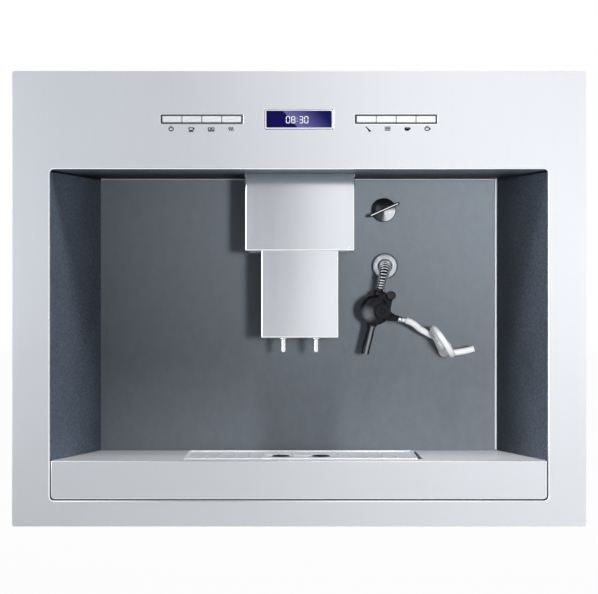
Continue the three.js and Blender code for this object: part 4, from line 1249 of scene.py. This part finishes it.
HEAD_FINISHES = ["head_steel", "edge", "side_steel"]
HOOD = ((-57.5, 59.5), (50, 119.7), (289, 371.7))
CARRIAGE = ((-40.5, 42.5), (53.5, 109.5), (196, 345))
HOOD_WALL = 2.7
HOOD_HOLLOW = 80
HOOD_LEAN = (24, 150)  # height and radius of the roll at its top
HOOD_CROWN = 1.1
CARRIAGE_WALL = 1.5
CARRIAGE_HOLLOW = 147
CARRIAGE_CROWN = 0.85
HEAD_EDGE = 1.6
LEAN_FROM = 347  # the hood's front bends back above this level
LEAN_DEPTH = 2.3
FRONT_DEPTH = 3  # the front's rounded edges lie within this depth
BROAD = 60  # edges longer than this run across the front
CROWN_STEPS = 11
LEAN_STEPS = 11


def hollow(piece, wall, depth, side):
    """Sinks the top or the underside into the piece and leaves a wall round it."""
    with editing(piece):
        pick("FACE", lambda face: face.normal.z * side > 0.9)
        bpy.ops.mesh.inset(thickness=wall * MM)
        pull(Vector((0, 0, -depth * side)))


def lean(piece, height, radius):
    """Curves the top of the front back, as the sheet is rolled there."""
    top = max(vert.co.z for vert in piece.data.vertices)
    front = min(vert.co.y for vert in piece.data.vertices)
    with editing(piece):
        for i in range(LEAN_STEPS):
            split((0, 0, top - height * MM * (1 - i / LEAN_STEPS)), (0, 0, 1))
        for i in range(1, LEAN_STEPS + 1):
            rise = height * i / LEAN_STEPS
            level = top - (height - rise) * MM
            pick("VERT", lambda vert: abs(vert.co.z - level) < NEAR and vert.co.y < front + NEAR)
            bpy.ops.transform.translate(value=(0, rise**2 / (2 * radius) * MM, 0))


def finish_front(piece, crown):
    """Rounds the outer edges of the front, leaves them bright, and crowns the front a little."""
    corners = piece.data.vertices
    front = min(vert.co.y for vert in corners)
    top = max(vert.co.z for vert in corners)
    side = max(abs(vert.co.x - HEAD_X * MM) for vert in corners) - NEAR
    by_front = front + FRONT_DEPTH * MM

    def on_lean(vert):
        outer = abs(vert.co.x - HEAD_X * MM) > side
        return outer and vert.co.z > LEAN_FROM * MM and vert.co.y < front + LEAN_DEPTH * MM

    def on_outline(edge):
        along_top = runs_along(edge, 0) and edge.verts[0].co.z > top - NEAR
        if along_top or edge.calc_face_angle(0) < 1:
            return False
        return all(vert.co.y < front + NEAR for vert in edge.verts) or all(map(on_lean, edge.verts))

    def crosses_front(edge):
        long = runs_along(edge, 0) and edge.calc_length() > BROAD * MM
        return long and all(vert.co.y < by_front for vert in edge.verts)

    room_for(piece)
    with editing(piece):
        pick("EDGE", on_outline)
        bevel(HEAD_EDGE, 6, clamp_overlap=False, material=1)
        pick("EDGE", crosses_front)
        bpy.ops.mesh.subdivide(number_cuts=CROWN_STEPS)
        across = [vert.co.x for vert in bmesh.from_edit_mesh(piece.data).verts]
        middle, half = (min(across) + max(across)) / 2, (max(across) - min(across)) / 2
        for place in sorted({round(x, 5) for x in across}):
            pick("VERT", lambda vert: abs(vert.co.x - place) < 2 * NEAR and vert.co.y < by_front)
            back = crown * ((place - middle) / half) ** 2 * MM
            bpy.ops.transform.translate(value=(0, back, 0))
    paint(piece, lambda face: abs(face.normal.x) > 0.98 and face.calc_area() > 1e-4, 2)
    soften(piece, 0.4)


class COFFEE_OT_coffee_head(bpy.types.Operator):
    """Folded steel hood and the sliding head below it"""

    bl_idname = "coffee.coffee_head"
    bl_label = "Coffee Head"

    def execute(self, context):
        hood = block("spout_hood_shell", *HOOD)
        hollow(hood, HOOD_WALL, HOOD_HOLLOW, -1)
        lean(hood, *HOOD_LEAN)
        finish_front(hood, HOOD_CROWN)
        stand_in(hood, HEAD_FINISHES, "spout_hood")
        head = block("spout_head_shell", *CARRIAGE)
        hollow(head, CARRIAGE_WALL, CARRIAGE_HOLLOW, 1)
        finish_front(head, CARRIAGE_CROWN)
        stand_in(head, HEAD_FINISHES, "spout_carriage")
        return {"FINISHED"}


SPOUTS = (("left", -16.6), ("right", 18.6))
SPOUT_PLACE = (63, 180.6)  # depth and level of their mouths
SPOUT_FOOT = [(1.9, 0), (2.5, 0), (2.95, 1.2), (2.95, 3.4)]
SPOUT_TOP = [(2.9, 13.6), (4.9, 14.2), (4.9, 15.2), (1.9, 15.2), (1.9, 0)]
RIB = [(2.8, 0), (2.95, 0.3), (2.95, 2.1), (2.8, 2.4)]
RIB_LEVELS = (4.3, 7.2, 10.1)


class COFFEE_OT_spouts(bpy.types.Operator):
    """Two ribbed outlet tips under the coffee head"""

    bl_idname = "coffee.spouts"
    bl_label = "Spouts"

    def execute(self, context):
        ribs = [(radius, level + up) for level in RIB_LEVELS for radius, up in RIB]
        outline = eased([*SPOUT_FOOT, *ribs, *SPOUT_TOP], 0.25, 2)
        for side, x in SPOUTS:
            tip = turned(f"spout_{side}_tip", outline, (x, *SPOUT_PLACE), sides=40)
            stand_in(tip, "spout_metal", f"spout_{side}")
        return {"FINISHED"}


# ---- Steam controls ----

KNOB_RIM = [(4, -13.5), (4, 0.3), (12.4, 0.3), (13.2, 1.2), (13.2, 4.8), (12.7, 5.5)]
KNOB = [*KNOB_RIM, (9, 6.5), (0.05, 8.2)]
KNOB_TURN = -24  # degrees, its grip from level
KNOB_OUT = 5.4  # the bright face begins this far out of the back panel
GRIP = (36, 3.4, (-15.6, -6.4), 1.4, 0.4)  # length, width, depths, corner radius and edge
INLAY = (33, 1, (-15.75, -15), 0.45, 0.2)


def knob_bar(name, length, width, ys, corner, softness):
    across, up = span(0, length), span(0, width)
    piece = block(name, across, ys, up, Matrix.Identity(4))
    round_edges(piece, corner, lambda edge: runs_along(edge, 1), 4)
    settle(piece, stand(KNOB_PLACE, KNOB_TURN))
    soften(piece, softness)
    return piece


class COFFEE_OT_steam_knob(bpy.types.Operator):
    """Round steam knob with a bright inlay in its grip"""

    bl_idname = "coffee.steam_knob"
    bl_label = "Steam Knob"

    def execute(self, context):
        disc = turned("steam_knob_disc", eased(KNOB, 0.3), KNOB_PLACE, "OUT", 96)
        front = FASCIA_FRONT + (NICHE_DEPTH - KNOB_OUT) * MM
        paint(disc, lambda face: face.normal.y < -0.9 and face.calc_center_median().y < front)
        stand_in(disc, ["black_gloss", "knob_face"], "steam_knob")
        grip = knob_bar("knob_grip_bar", *GRIP)
        stand_in(grip, "black_gloss", "knob_grip")
        inlay = knob_bar("knob_inlay", *INLAY)
        attach(inlay, "chrome", "knob_grip")
        return {"FINISHED"}


RING = [(14.3, 0.3), (14.3, 3.4), (13.2, 5.2), (12.6, 5.9), (8.2, 7.25), (7.05, 6.2), (7.05, 0.3)]
RING_FLANK = 13.55  # the ring is dark outside this radius


class COFFEE_OT_escutcheon(bpy.types.Operator):
    """Stepped bright ring round the wand's ball, and the brass valve behind it"""

    bl_idname = "coffee.escutcheon"
    bl_label = "Wand Ring"

    def execute(self, context):
        ring = turned("steam_ring", eased(closed(RING), 0.7), WAND_PLACE, "OUT", 96)
        middle = CASE @ (Vector(WAND_PLACE) * MM)

        def on_flank(face):
            spot = face.calc_center_median() - middle
            return math.hypot(spot.x, spot.z) > RING_FLANK * MM

        paint(ring, on_flank)
        stand_in(ring, ["ring_metal", "dark_metal"], "steam_escutcheon")
        dress("brass", "steam_valve")
        return {"FINISHED"}


PIPE_RADIUS = 3
PIPE_STEPS = 60
PIPE_DROP = 33
BALL_RADIUS = 6.7
BALL_STEPS = 24
BEND = 16
BEND_FROM = 8
BEND_LENGTH = 25.13
SPRING_FROM = 7.4
SPRING_DROP = 27.2
SPRING_STEPS = 28  # in each turn
SPRING_RADII = (6.1, 4.2)


def wand_line(distance):
    """Point of the wand's centreline at a distance from its ball, in the wand's own frame."""
    along = distance - BEND_FROM
    if along <= 0:
        return Vector((0, -distance, 0))
    if along >= BEND_LENGTH:
        return Vector((0, -DRUM_OUT, -BEND - (along - BEND_LENGTH)))
    turn = along / BEND
    return Vector((0, -BEND_FROM - BEND * math.sin(turn), -BEND * (1 - math.cos(turn))))


def wand_length(drop):
    return BEND_FROM + BEND_LENGTH + drop - BEND


def spring_point(share, curls):
    start, stop = SPRING_FROM, wand_length(SPRING_DROP)
    distance = start + (stop - start) * share
    tangent = (wand_line(distance + 0.2) - wand_line(distance - 0.2)).normalized()
    right = Vector((1, 0, 0))
    turn = 2 * math.pi * curls * share
    reach = SPRING_RADII[0] + (SPRING_RADII[1] - SPRING_RADII[0]) * share
    outward = right * math.cos(turn) + tangent.cross(right) * math.sin(turn)
    return WAND @ ((wand_line(distance) + outward * reach) * MM)


class COFFEE_OT_wand(bpy.types.Operator):
    """Polished steam pipe, coloured dark as painted shade, with its ball and the coil spring wound
    round it
    """

    bl_idname = "coffee.wand"
    bl_label = "Steam Wand"

    def execute(self, context):
        settings = context.scene.coffee_machine.wand
        reach = wand_length(PIPE_DROP) - 2
        line = [WAND @ (wand_line(2 + reach * i / PIPE_STEPS) * MM) for i in range(PIPE_STEPS + 1)]
        pipe = line_curve("pipe_tube", line, PIPE_RADIUS, 32)
        turns = [math.pi * (i / BALL_STEPS - 0.5) for i in range(1, BALL_STEPS)]
        curve = [(BALL_RADIUS * math.cos(turn), BALL_RADIUS * math.sin(turn)) for turn in turns]
        outline = [(0.05, -BALL_RADIUS), *curve, (0.05, BALL_RADIUS)]
        ball = turned("pipe_ball", outline, (0, -2, 0), "OUT", 48, WAND)
        wand = unite("steam_pipe_tube", pipe, ball)
        middle, near = wand_point(0, 2, 0), (BALL_RADIUS + 0.4) * MM
        paint(wand, lambda face: (face.calc_center_median() - middle).length < near)
        # The pipe takes dark metal as painted shade, standing in for the chrome pipe in shade
        # between the spring's coils.
        stand_in(wand, ["dark_metal", "ring_metal"], "steam_pipe")
        steps = settings.curls * SPRING_STEPS
        coil = [spring_point(i / steps, settings.curls) for i in range(steps + 1)]
        spring = line_curve("steam_spring_wire", coil, settings.wire / MM, 12)
        stand_in(spring, "chrome", "steam_spring")
        return {"FINISHED"}


# Places in the wand's own frame: x to the right, y into the niche, z up from the ball
AXIS = (0, -DRUM_OUT)
DRUM_Z = -49.5
CAP_PLACE = (7.5, -34.3, DRUM_Z)
DIAL_PLACE = (12.9, -34.3, -30.4)
NIPPLE_PLACE = (18.6, -DRUM_OUT, -53)
NIPPLE_BODY = 8.1  # the nipple is bright beyond this length
DIAL_SHANK = 4.3  # the flutes lie outside this radius
FLUTE_SHARE = 0.9  # of the dial's radius that is left in them
OUTLET_PLACE = (*AXIS, -99.3)
BORE_PLACE = (*AXIS, -33.3)
BORE = [(3.3, 0), (3.3, 12)]
BOSSES = (  # radius, height, place, way and easing of what stands out of the drum
    (6.5, 21.2, (*AXIS, DRUM_Z), "UP", 1.2),
    (5, 12, (12.9, -22, -30.4), "OUT", 0.8),
    (5.5, 14, (*AXIS, -67.8), "UP", 0.8),
    (5.2, 10, (8.3, -DRUM_OUT, -53), "RIGHT", 0.8),
)
DRUM_DOME = [
    (8 + 8.8 * math.sin(turn), 13 + 7 * math.cos(turn))
    for turn in (math.pi * i / 24 for i in range(12, -1, -1))
]
CAP_FACE = [(7.9, 3.6), (7.4, 3.2), (3, 3.1), (2.4, 3.9), (0.05, 4)]
CAP = [(0.05, 0), (8.2, 0), (8.7, 0.5), (8.7, 3), *CAP_FACE]
DIAL = [(0.05, 0), (4.1, 0), (4.7, 0.6), (4.7, 6.8), (4.2, 7.7), (0.05, 8)]
OUTLET_GROOVE = [(4.5, 24), (4, 25), (4, 26.6), (4.5, 27.4)]
OUTLET = [(4.2, 0), (4.5, 0.6), *OUTLET_GROOVE, (4.5, 31.2), (3, 31.2), (3, 0)]
BARBS = [(2.94, 8.25), (4.2, 8.25), (2.94, 10.31), (4.2, 10.31), (2.94, 12.375), (2.94, 16.4)]
NIPPLE = [(4.2, 2.2), (3.5, 3), *BARBS, (1.7, 16.4), (1.7, 0), (4.2, 0)]


def boss(radius, height, place, way, ease):
    outline = eased([(0.05, 0), (radius, 0), (radius, height), (0.05, height)], ease)
    return turned("boss", outline, place, way, 64, WAND)


class COFFEE_OT_frother(bpy.types.Operator):
    """Glossy frother drum with its cap, dial, outlet and barbed milk nipple"""

    bl_idname = "coffee.frother"
    bl_label = "Milk Frother"

    def execute(self, context):
        drum = eased([(0.05, 0), (16.8, 0), *DRUM_DOME, (0.05, 20)], 2.6, 2)
        shell = unite(
            "frother_shell",
            turned("drum", drum, (0, -14, DRUM_Z), "OUT", 96, WAND),
            *(boss(*row) for row in BOSSES),
            rounded_block("web", (0, 15.6), (-32, -24), (DRUM_Z, -30.4), 1.5, WAND),
        )
        modify(shell, "REMESH", mode="VOXEL", voxel_size=0.5 * MM)
        modify(shell, "SMOOTH", factor=0.5, iterations=8)
        cut(shell, turned("bore", BORE, BORE_PLACE, "UP", 48, WAND))
        smooth(shell, 45)
        stand_in(shell, "drum_gloss", "frother_body")
        cap = turned("frother_cap_disc", eased(CAP, 0.4), CAP_PLACE, "OUT", 72, WAND)
        stand_in(cap, "black_gloss", "frother_cap")
        self.dial()
        outlet = eased(closed(OUTLET), 0.4)
        tube = turned("frother_outlet_tube", outlet, OUTLET_PLACE, "UP", 64, WAND)
        stand_in(tube, "outlet_gloss", "frother_outlet")
        self.nipple()
        return {"FINISHED"}

    @staticmethod
    def nipple():
        outline = eased(closed(NIPPLE), 0.25, 3)
        nipple = turned("milk_nipple_barbs", outline, NIPPLE_PLACE, "RIGHT", 48, WAND)
        start = WAND @ (Vector(NIPPLE_PLACE) * MM)
        way = WAND.to_3x3() @ Vector((1, 0, 0))
        far = NIPPLE_BODY * MM
        paint(nipple, lambda face: (face.calc_center_median() - start).dot(way) > far)
        stand_in(nipple, ["black_gloss", "chrome"], "milk_nipple")

    @staticmethod
    def dial():
        dial = turned("froth_dial_cap", eased(DIAL, 0.4), DIAL_PLACE, "OUT", 72, WAND)
        middle = WAND @ (Vector(DIAL_PLACE) * MM)
        level = WAND.to_3x3().inverted()

        def in_flute(vert):
            local = level @ (vert.co - middle)
            step = round(math.degrees(math.atan2(local.z, local.x)) / 5)
            return math.hypot(local.x, local.z) >= DIAL_SHANK * MM and step % 6 == 0

        with editing(dial):
            pick("VERT", in_flute)
            narrow = (FLUTE_SHARE, 1, FLUTE_SHARE)
            bpy.ops.transform.resize(value=narrow, center_override=middle)
        smooth(dial, 50)
        stand_in(dial, "black_plastic", "froth_dial")


# ---- Drip drawer ----

DRAWER_X = (-257.05, 257.05)
DRAWER_FRONT = (DRAWER_X, (0.15, 12), (30.2, DECK_TOP))
DECK = (DRAWER_X, (2.3, 119.7), (68.5, DECK_TOP))
WELL = ((-120.3, 128.3), (19.7, 110.3))
WELL_RIM = ((-120.9, 124.6), (19, 111), (69.2, 70.9))
RIM_HOLE = ((-118.8, 122.5), (21.2, 108.8))
GRID = ((-120, 124), (20, 110), (67.2, 69.6))
THROUGH = (60, 80)  # heights of the tools that cut through the deck and the grid
DRAINS = (-19.4, 23.4)
DRAIN_Y = 55
DRAIN_FREE = 17  # no slot nearer to a drain's middle
DRAIN_RADIUS = 8.8
COLLAR = [(9.5, 0), (9.5, 3), (9.1, 3.4), (8.1, 3.4), (7.7, 3), (7.7, 0)]
SLOT_COLUMNS = 14
SLOT_PITCH = 15.9
SLOT_ROWS = (36.5, 55.5, 74.5, 93.5)
GRID_MIDDLE = 2


class COFFEE_OT_drawer(bpy.types.Operator):
    """Steel drawer front and deck with the drip tray, basin and grounds bin that they carry"""

    bl_idname = "coffee.drawer"
    bl_label = "Drip Drawer"

    def execute(self, context):
        panel = block("drawer_front_panel", *DRAWER_FRONT)
        with editing(panel):
            pick("FACE", lambda face: face.normal.z > 0.9 or face.normal.y > 0.9)
            bpy.ops.mesh.delete(type="FACE")

        def lower_corner(edge):
            return runs_along(edge, 1) and all(vert.co.z < 40 * MM for vert in edge.verts)

        round_edges(panel, 4, lower_corner, 8)
        modify(panel, "SOLIDIFY", thickness=2 * MM, offset=-1, use_even_offset=True)
        soften(panel, 0.7, segments=3, angle=40, polished=True)
        stand_in(panel, ["satin_steel", "edge"], "drawer_front")
        deck = block("drawer_deck_sheet", *DECK)
        cut(deck, block("well", *WELL, THROUGH))
        soften(deck, 0.35, polished=True)
        stand_in(deck, ["deck_steel", "edge"], "drawer_deck")
        rim = rounded_block("well_rim", *WELL_RIM, 2, axis=2)
        cut(rim, rounded_block("rim_hole", *RIM_HOLE, THROUGH, 1.5, axis=2))
        soften(rim, 0.3)
        attach(rim, "rim_steel", "drip_grid")
        refine("grey_plastic", 0.4, "drawer_tray", "drip_basin", "grounds_bin")
        return {"FINISHED"}


class COFFEE_OT_drip_grid(bpy.types.Operator):
    """Lift-out grid of pressed slots, with its drains open"""

    bl_idname = "coffee.drip_grid"
    bl_label = "Drip Grid"

    def execute(self, context):
        grid = rounded_block("drip_grid_plate", *GRID, 1.6, axis=2)
        wide, long = span(0, 2.4), span(0, 13)
        slot = rounded_block("slot", wide, long, THROUGH, 1.15, axis=2, segments=3)
        tools = []
        for column in range(SLOT_COLUMNS):
            for row in SLOT_ROWS:
                x = GRID_MIDDLE + (column - (SLOT_COLUMNS - 1) / 2) * SLOT_PITCH
                if all(math.hypot(x - drain, row - DRAIN_Y) > DRAIN_FREE for drain in DRAINS):
                    tools.append(copied(slot, "slot_tool", (x, row, 0)))
        discard(slot)
        cut(grid, unite("slots", *tools))
        soften(grid, 0.5, segments=2, polished=True)
        hole, collar = [(DRAIN_RADIUS, 0), (DRAIN_RADIUS, 20)], eased(closed(COLLAR), 0.2, 2)
        collars = []
        for x in DRAINS:
            cut(grid, turned("drain", hole, (x, DRAIN_Y, 60), sides=56))
            collars.append(turned("collar", collar, (x, DRAIN_Y, 67), sides=56))
        attach(unite("drain_collars", *collars), "black_plastic", "drip_grid")
        stand_in(grid, ["grid_steel", "rim_steel"], "drip_grid")
        return {"FINISHED"}


# ---- Casing behind the fascia, and what it holds ----

BEAD_X = (261.9, 263.1)
BEAD_DEPTHS = (70, 400)
BEAD_LEVELS = (120, 200, 280)
BEAD_HEIGHT = 14
SCREW_X = 262
SCREW = [(1.1, 1.2), (1.1, 1.9), (2.4, 1.9), (3.3, 1.2), (3.6, 0), (0.6, 0), (0.6, 1.2)]
SCREW_DEPTHS = (34, 232, 430)
SCREW_LEVELS = (80, 432)
SIDES = (("left", -1), ("right", 1))


class COFFEE_OT_casing(bpy.types.Operator):
    """Zinc-coated casing with its stiffening beads and screws"""

    bl_idname = "coffee.casing"
    bl_label = "Casing"

    def execute(self, context):
        refine("zinc", 0.35, "side_panel_left", "side_panel_right", "rear_panel", "top_panel")
        refine("zinc", 0.5, "chassis_pan", "equipment_shelf", "base_plate")
        refine("black_plastic", 0.5, "power_inlet")
        outline, screws = eased(closed(SCREW), 0.25, 2), []
        for side, sign in SIDES:
            faces, beads = sorted(sign * x for x in BEAD_X), []
            for z in BEAD_LEVELS:
                bead = block("bead", faces, BEAD_DEPTHS, span(z, BEAD_HEIGHT))
                round_edges(bead, 6.5, lambda edge: runs_along(edge, 0), 6)
                soften(bead, 0.5)
                beads.append(bead)
            attach(unite(f"side_beads_{side}", *beads), "zinc", f"side_panel_{side}")
            for y in SCREW_DEPTHS:
                for z in SCREW_LEVELS:
                    place = (sign * SCREW_X, y, z)
                    screws.append(turned("screw", outline, place, side.upper(), 20))
        attach(unite("casing_screws", *screws), "chrome", "side_panel_left")
        return {"FINISHED"}


class COFFEE_OT_runners(bpy.types.Operator):
    """Telescopic runners between the base plate and the machine"""

    bl_idname = "coffee.runners"
    bl_label = "Runners"

    def execute(self, context):
        for part in ("outer", "middle", "inner"):
            refine("zinc", 0.3, f"runner_{part}_left", f"runner_{part}_right")
        return {"FINISHED"}


class COFFEE_OT_containers(bpy.types.Operator):
    """Bean hopper with its lid, and the water tank"""

    bl_idname = "coffee.containers"
    bl_label = "Bean Hopper and Water Tank"

    def execute(self, context):
        refine("black_plastic", 0.8, "bean_lid")
        refine("black_plastic", 0.4, "bean_hopper")
        refine("clear", 0.8, "water_tank")
        return {"FINISHED"}


class COFFEE_OT_machinery(bpy.types.Operator):
    """Brewing unit, grinder, boiler and pump inside the casing"""

    bl_idname = "coffee.machinery"
    bl_label = "Machinery"

    def execute(self, context):
        refine("black_plastic", 0.6, "brew_unit")
        refine("cast", 0.4, "grinder_housing", "grinder_burr", "boiler")
        refine("grey_plastic", 0.4, "brew_piston", "pump")
        return {"FINISHED"}


# ---- Studio ----

WHITE = (1, 1, 1, 1)
FLOOR_SIZE = 12
FLOOR_LEVEL = 0.36  # of the floor where the lamps light it
FLOOR_GLOW = 0.975  # share of plain white that the camera sees there
WALL_SIZE = 6
WALL_PLACE = (0, -3.2, 1.2)
WALL_TINT = (0.93, 0.97, 1.04, 1)
WALL_STEPS = (  # from x, to x, and what the steps add before and after
    (-0.74, -0.36, 1.3, 0),
    (-0.27, 0.31, 0.18, 1.54),
    (0.38, 0.7, 0, -0.85),
    (0.95, 1.4, 0, 0.5),
)
PANEL_PLACE = (-0.82, -0.56, 0.11)
PANEL_TURN = (math.pi / 2, 0, -1.13)
PANEL_SCALE = (0.36, 0.2, 1)
PANEL_GLOW = 4.0
KEY_LIGHT = ((0.9, -3.02, 0.31), (0.64, -0.15, 0.42))  # place and target
KEY_CONE = {"spot_size": 2 * math.atan(0.98 / 3), "spot_blend": 1, "shadow_soft_size": 0.26}
TOP_LIGHT = ((0, -0.95, 1.95), (0, -0.17, 0.07))
TOP_CONE = {"spot_size": math.radians(30), "spot_blend": 1, "shadow_soft_size": 0.2}
REAR_LIGHTS = (
    ("rear_light_left", (-2.4, 1.7, 1.9)),
    ("rear_light_right", (2.4, 1.7, 1.9)),
)
REAR_TARGET = (0, 0.1, 0.25)


def sheet(name, size, place=(0, 0, 0), turn=(0, 0, 0), scale=(1, 1, 1)):
    nothing_selected()
    bpy.ops.mesh.primitive_plane_add(size=size, location=place, rotation=turn, scale=scale)
    piece = named(name)
    bpy.ops.object.transform_apply(location=True, rotation=True, scale=True)
    finish = Finish(bpy.data.materials.new(name + "_finish"))
    piece.data.materials.append(finish.owner)
    return piece, finish


def emission(finish, colour, strength=1.0):
    return finish.node("ShaderNodeEmission", None, {"Color": colour, "Strength": strength})


def studio_floor():
    """White to the camera, in metal and in glass, and it keeps the object's shadow."""
    floor, finish = sheet("studio_floor", FLOOR_SIZE)
    colour = (FLOOR_LEVEL, FLOOR_LEVEL, FLOOR_LEVEL, 1)
    lit = finish.node("ShaderNodeBsdfDiffuse", None, {"Color": colour, "Roughness": 0.5})
    parts = [finish.seen() * FLOOR_GLOW, lit, emission(finish, WHITE)]
    finish.show(finish.node("ShaderNodeMixShader", None, parts))
    return floor


def only_reflected(piece):
    for rays in ("camera", "diffuse", "shadow", "transmission", "volume_scatter"):
        setattr(piece, "visible_" + rays, False)


def reflection_wall():
    """Wall behind the camera, graded from side to side, which the steel reflects."""
    wall, finish = sheet("reflection_wall", WALL_SIZE, WALL_PLACE, (-math.pi / 2, 0, 0))
    across = finish.axes()[0]
    tint = finish.blend(finish.ramped(across, -1.3, 0.4), WALL_TINT, WHITE)
    level = sum(finish.ramped(across, *step) for step in WALL_STEPS)
    scaled = {"Vector": tint, "Scale": level}
    colour = finish.node("ShaderNodeVectorMath", {"operation": "SCALE"}, scaled)
    finish.show(emission(finish, colour))
    only_reflected(wall)
    return wall


def reflection_panel():
    """Low panel at the left that only shiny curves reflect."""
    panel, finish = sheet("reflection_panel", 1, PANEL_PLACE, PANEL_TURN, PANEL_SCALE)
    finish.show(emission(finish, WHITE, PANEL_GLOW))
    only_reflected(panel)
    return panel


def room_light(ambient):
    world = bpy.data.worlds.new("studio_room")
    bpy.context.scene.world = world
    finish = Finish(world)
    lit, white = (
        finish.node("ShaderNodeBackground", None, {"Color": WHITE, "Strength": strength})
        for strength in (ambient, 1.0)
    )
    mixed = finish.node("ShaderNodeMixShader", None, [finish.seen(), lit, white])
    finish.show(mixed, "World")


def lamp(name, kind, place, target, power, **settings):
    turn = (Vector(target) - Vector(place)).to_track_quat("-Z", "Y").to_euler()
    bpy.ops.object.light_add(type=kind, location=place, rotation=turn)
    made = bpy.context.object
    made.name = name
    made.data.energy = power
    for key, value in settings.items():
        setattr(made.data, key, value)
    return made


class COFFEE_OT_studio(bpy.types.Operator):
    """Pale floor, even room light, soft lamps and the reflection wall behind the camera"""

    bl_idname = "coffee.studio"
    bl_label = "Studio"

    def execute(self, context):
        settings = context.scene.coffee_machine.studio
        studio_floor()
        reflection_wall()
        reflection_panel()
        room_light(settings.ambient)
        key = lamp("key_light", "SPOT", *KEY_LIGHT, settings.key_power, **KEY_CONE)
        top = lamp("top_light", "SPOT", *TOP_LIGHT, settings.top_power, **TOP_CONE)
        key.visible_glossy = top.visible_glossy = False
        for name, place in REAR_LIGHTS:
            lamp(name, "AREA", place, REAR_TARGET, settings.fill_power, shape="DISK", size=1.2)
        context.scene.view_settings.view_transform = "Standard"
        return {"FINISHED"}


# ---- Add-on ----


def setting_group(kind, name, description):
    return bpy.props.PointerProperty(type=kind, name=name, description=description)


class MachineSettings(bpy.types.PropertyGroup):
    steel: setting_group(SteelSettings, "Steel", "Satin steel")
    plastic: setting_group(PlasticSettings, "Plastic", "Plastic colours")
    wand: setting_group(WandSettings, "Wand", "Steam wand")
    studio: setting_group(StudioSettings, "Studio", "Lights")


OPERATORS = (
    COFFEE_OT_camera,
    COFFEE_OT_milk_hose,
    COFFEE_OT_studio,
    COFFEE_OT_fascia,
    COFFEE_OT_display,
    COFFEE_OT_keys,
    COFFEE_OT_signs,
    COFFEE_OT_niche,
    COFFEE_OT_coffee_head,
    COFFEE_OT_spouts,
    COFFEE_OT_steam_knob,
    COFFEE_OT_escutcheon,
    COFFEE_OT_wand,
    COFFEE_OT_frother,
    COFFEE_OT_drawer,
    COFFEE_OT_drip_grid,
    COFFEE_OT_casing,
    COFFEE_OT_runners,
    COFFEE_OT_containers,
    COFFEE_OT_machinery,
)


class COFFEE_PT_pieces(bpy.types.Panel):
    """Lists the machine's pieces and its settings"""

    bl_idname = "COFFEE_PT_pieces"
    bl_label = "Coffee Machine"
    bl_space_type = "VIEW_3D"
    bl_region_type = "UI"
    bl_category = "Coffee Machine"

    def draw(self, context):
        settings = context.scene.coffee_machine
        for group in (settings.steel, settings.plastic, settings.wand, settings.studio):
            box = self.layout.box()
            for key in group.__annotations__:
                box.prop(group, key)
        column = self.layout.column(align=True)
        for operator in OPERATORS:
            column.operator(operator.bl_idname)


CLASSES = (
    SteelSettings,
    PlasticSettings,
    WandSettings,
    StudioSettings,
    MachineSettings,
    *OPERATORS,
    COFFEE_PT_pieces,
)


def register():
    for kind in CLASSES:
        bpy.utils.register_class(kind)
    about = "Sizes and colours of the machine"
    bpy.types.Scene.coffee_machine = setting_group(MachineSettings, "Coffee Machine", about)


def unregister():
    del bpy.types.Scene.coffee_machine
    for kind in reversed(CLASSES):
        bpy.utils.unregister_class(kind)


def main():
    register()
    for operator in OPERATORS:
        group, name = operator.bl_idname.split(".")
        getattr(getattr(bpy.ops, group), name)()
    nothing_selected()


if __name__ == "__main__":
    main()
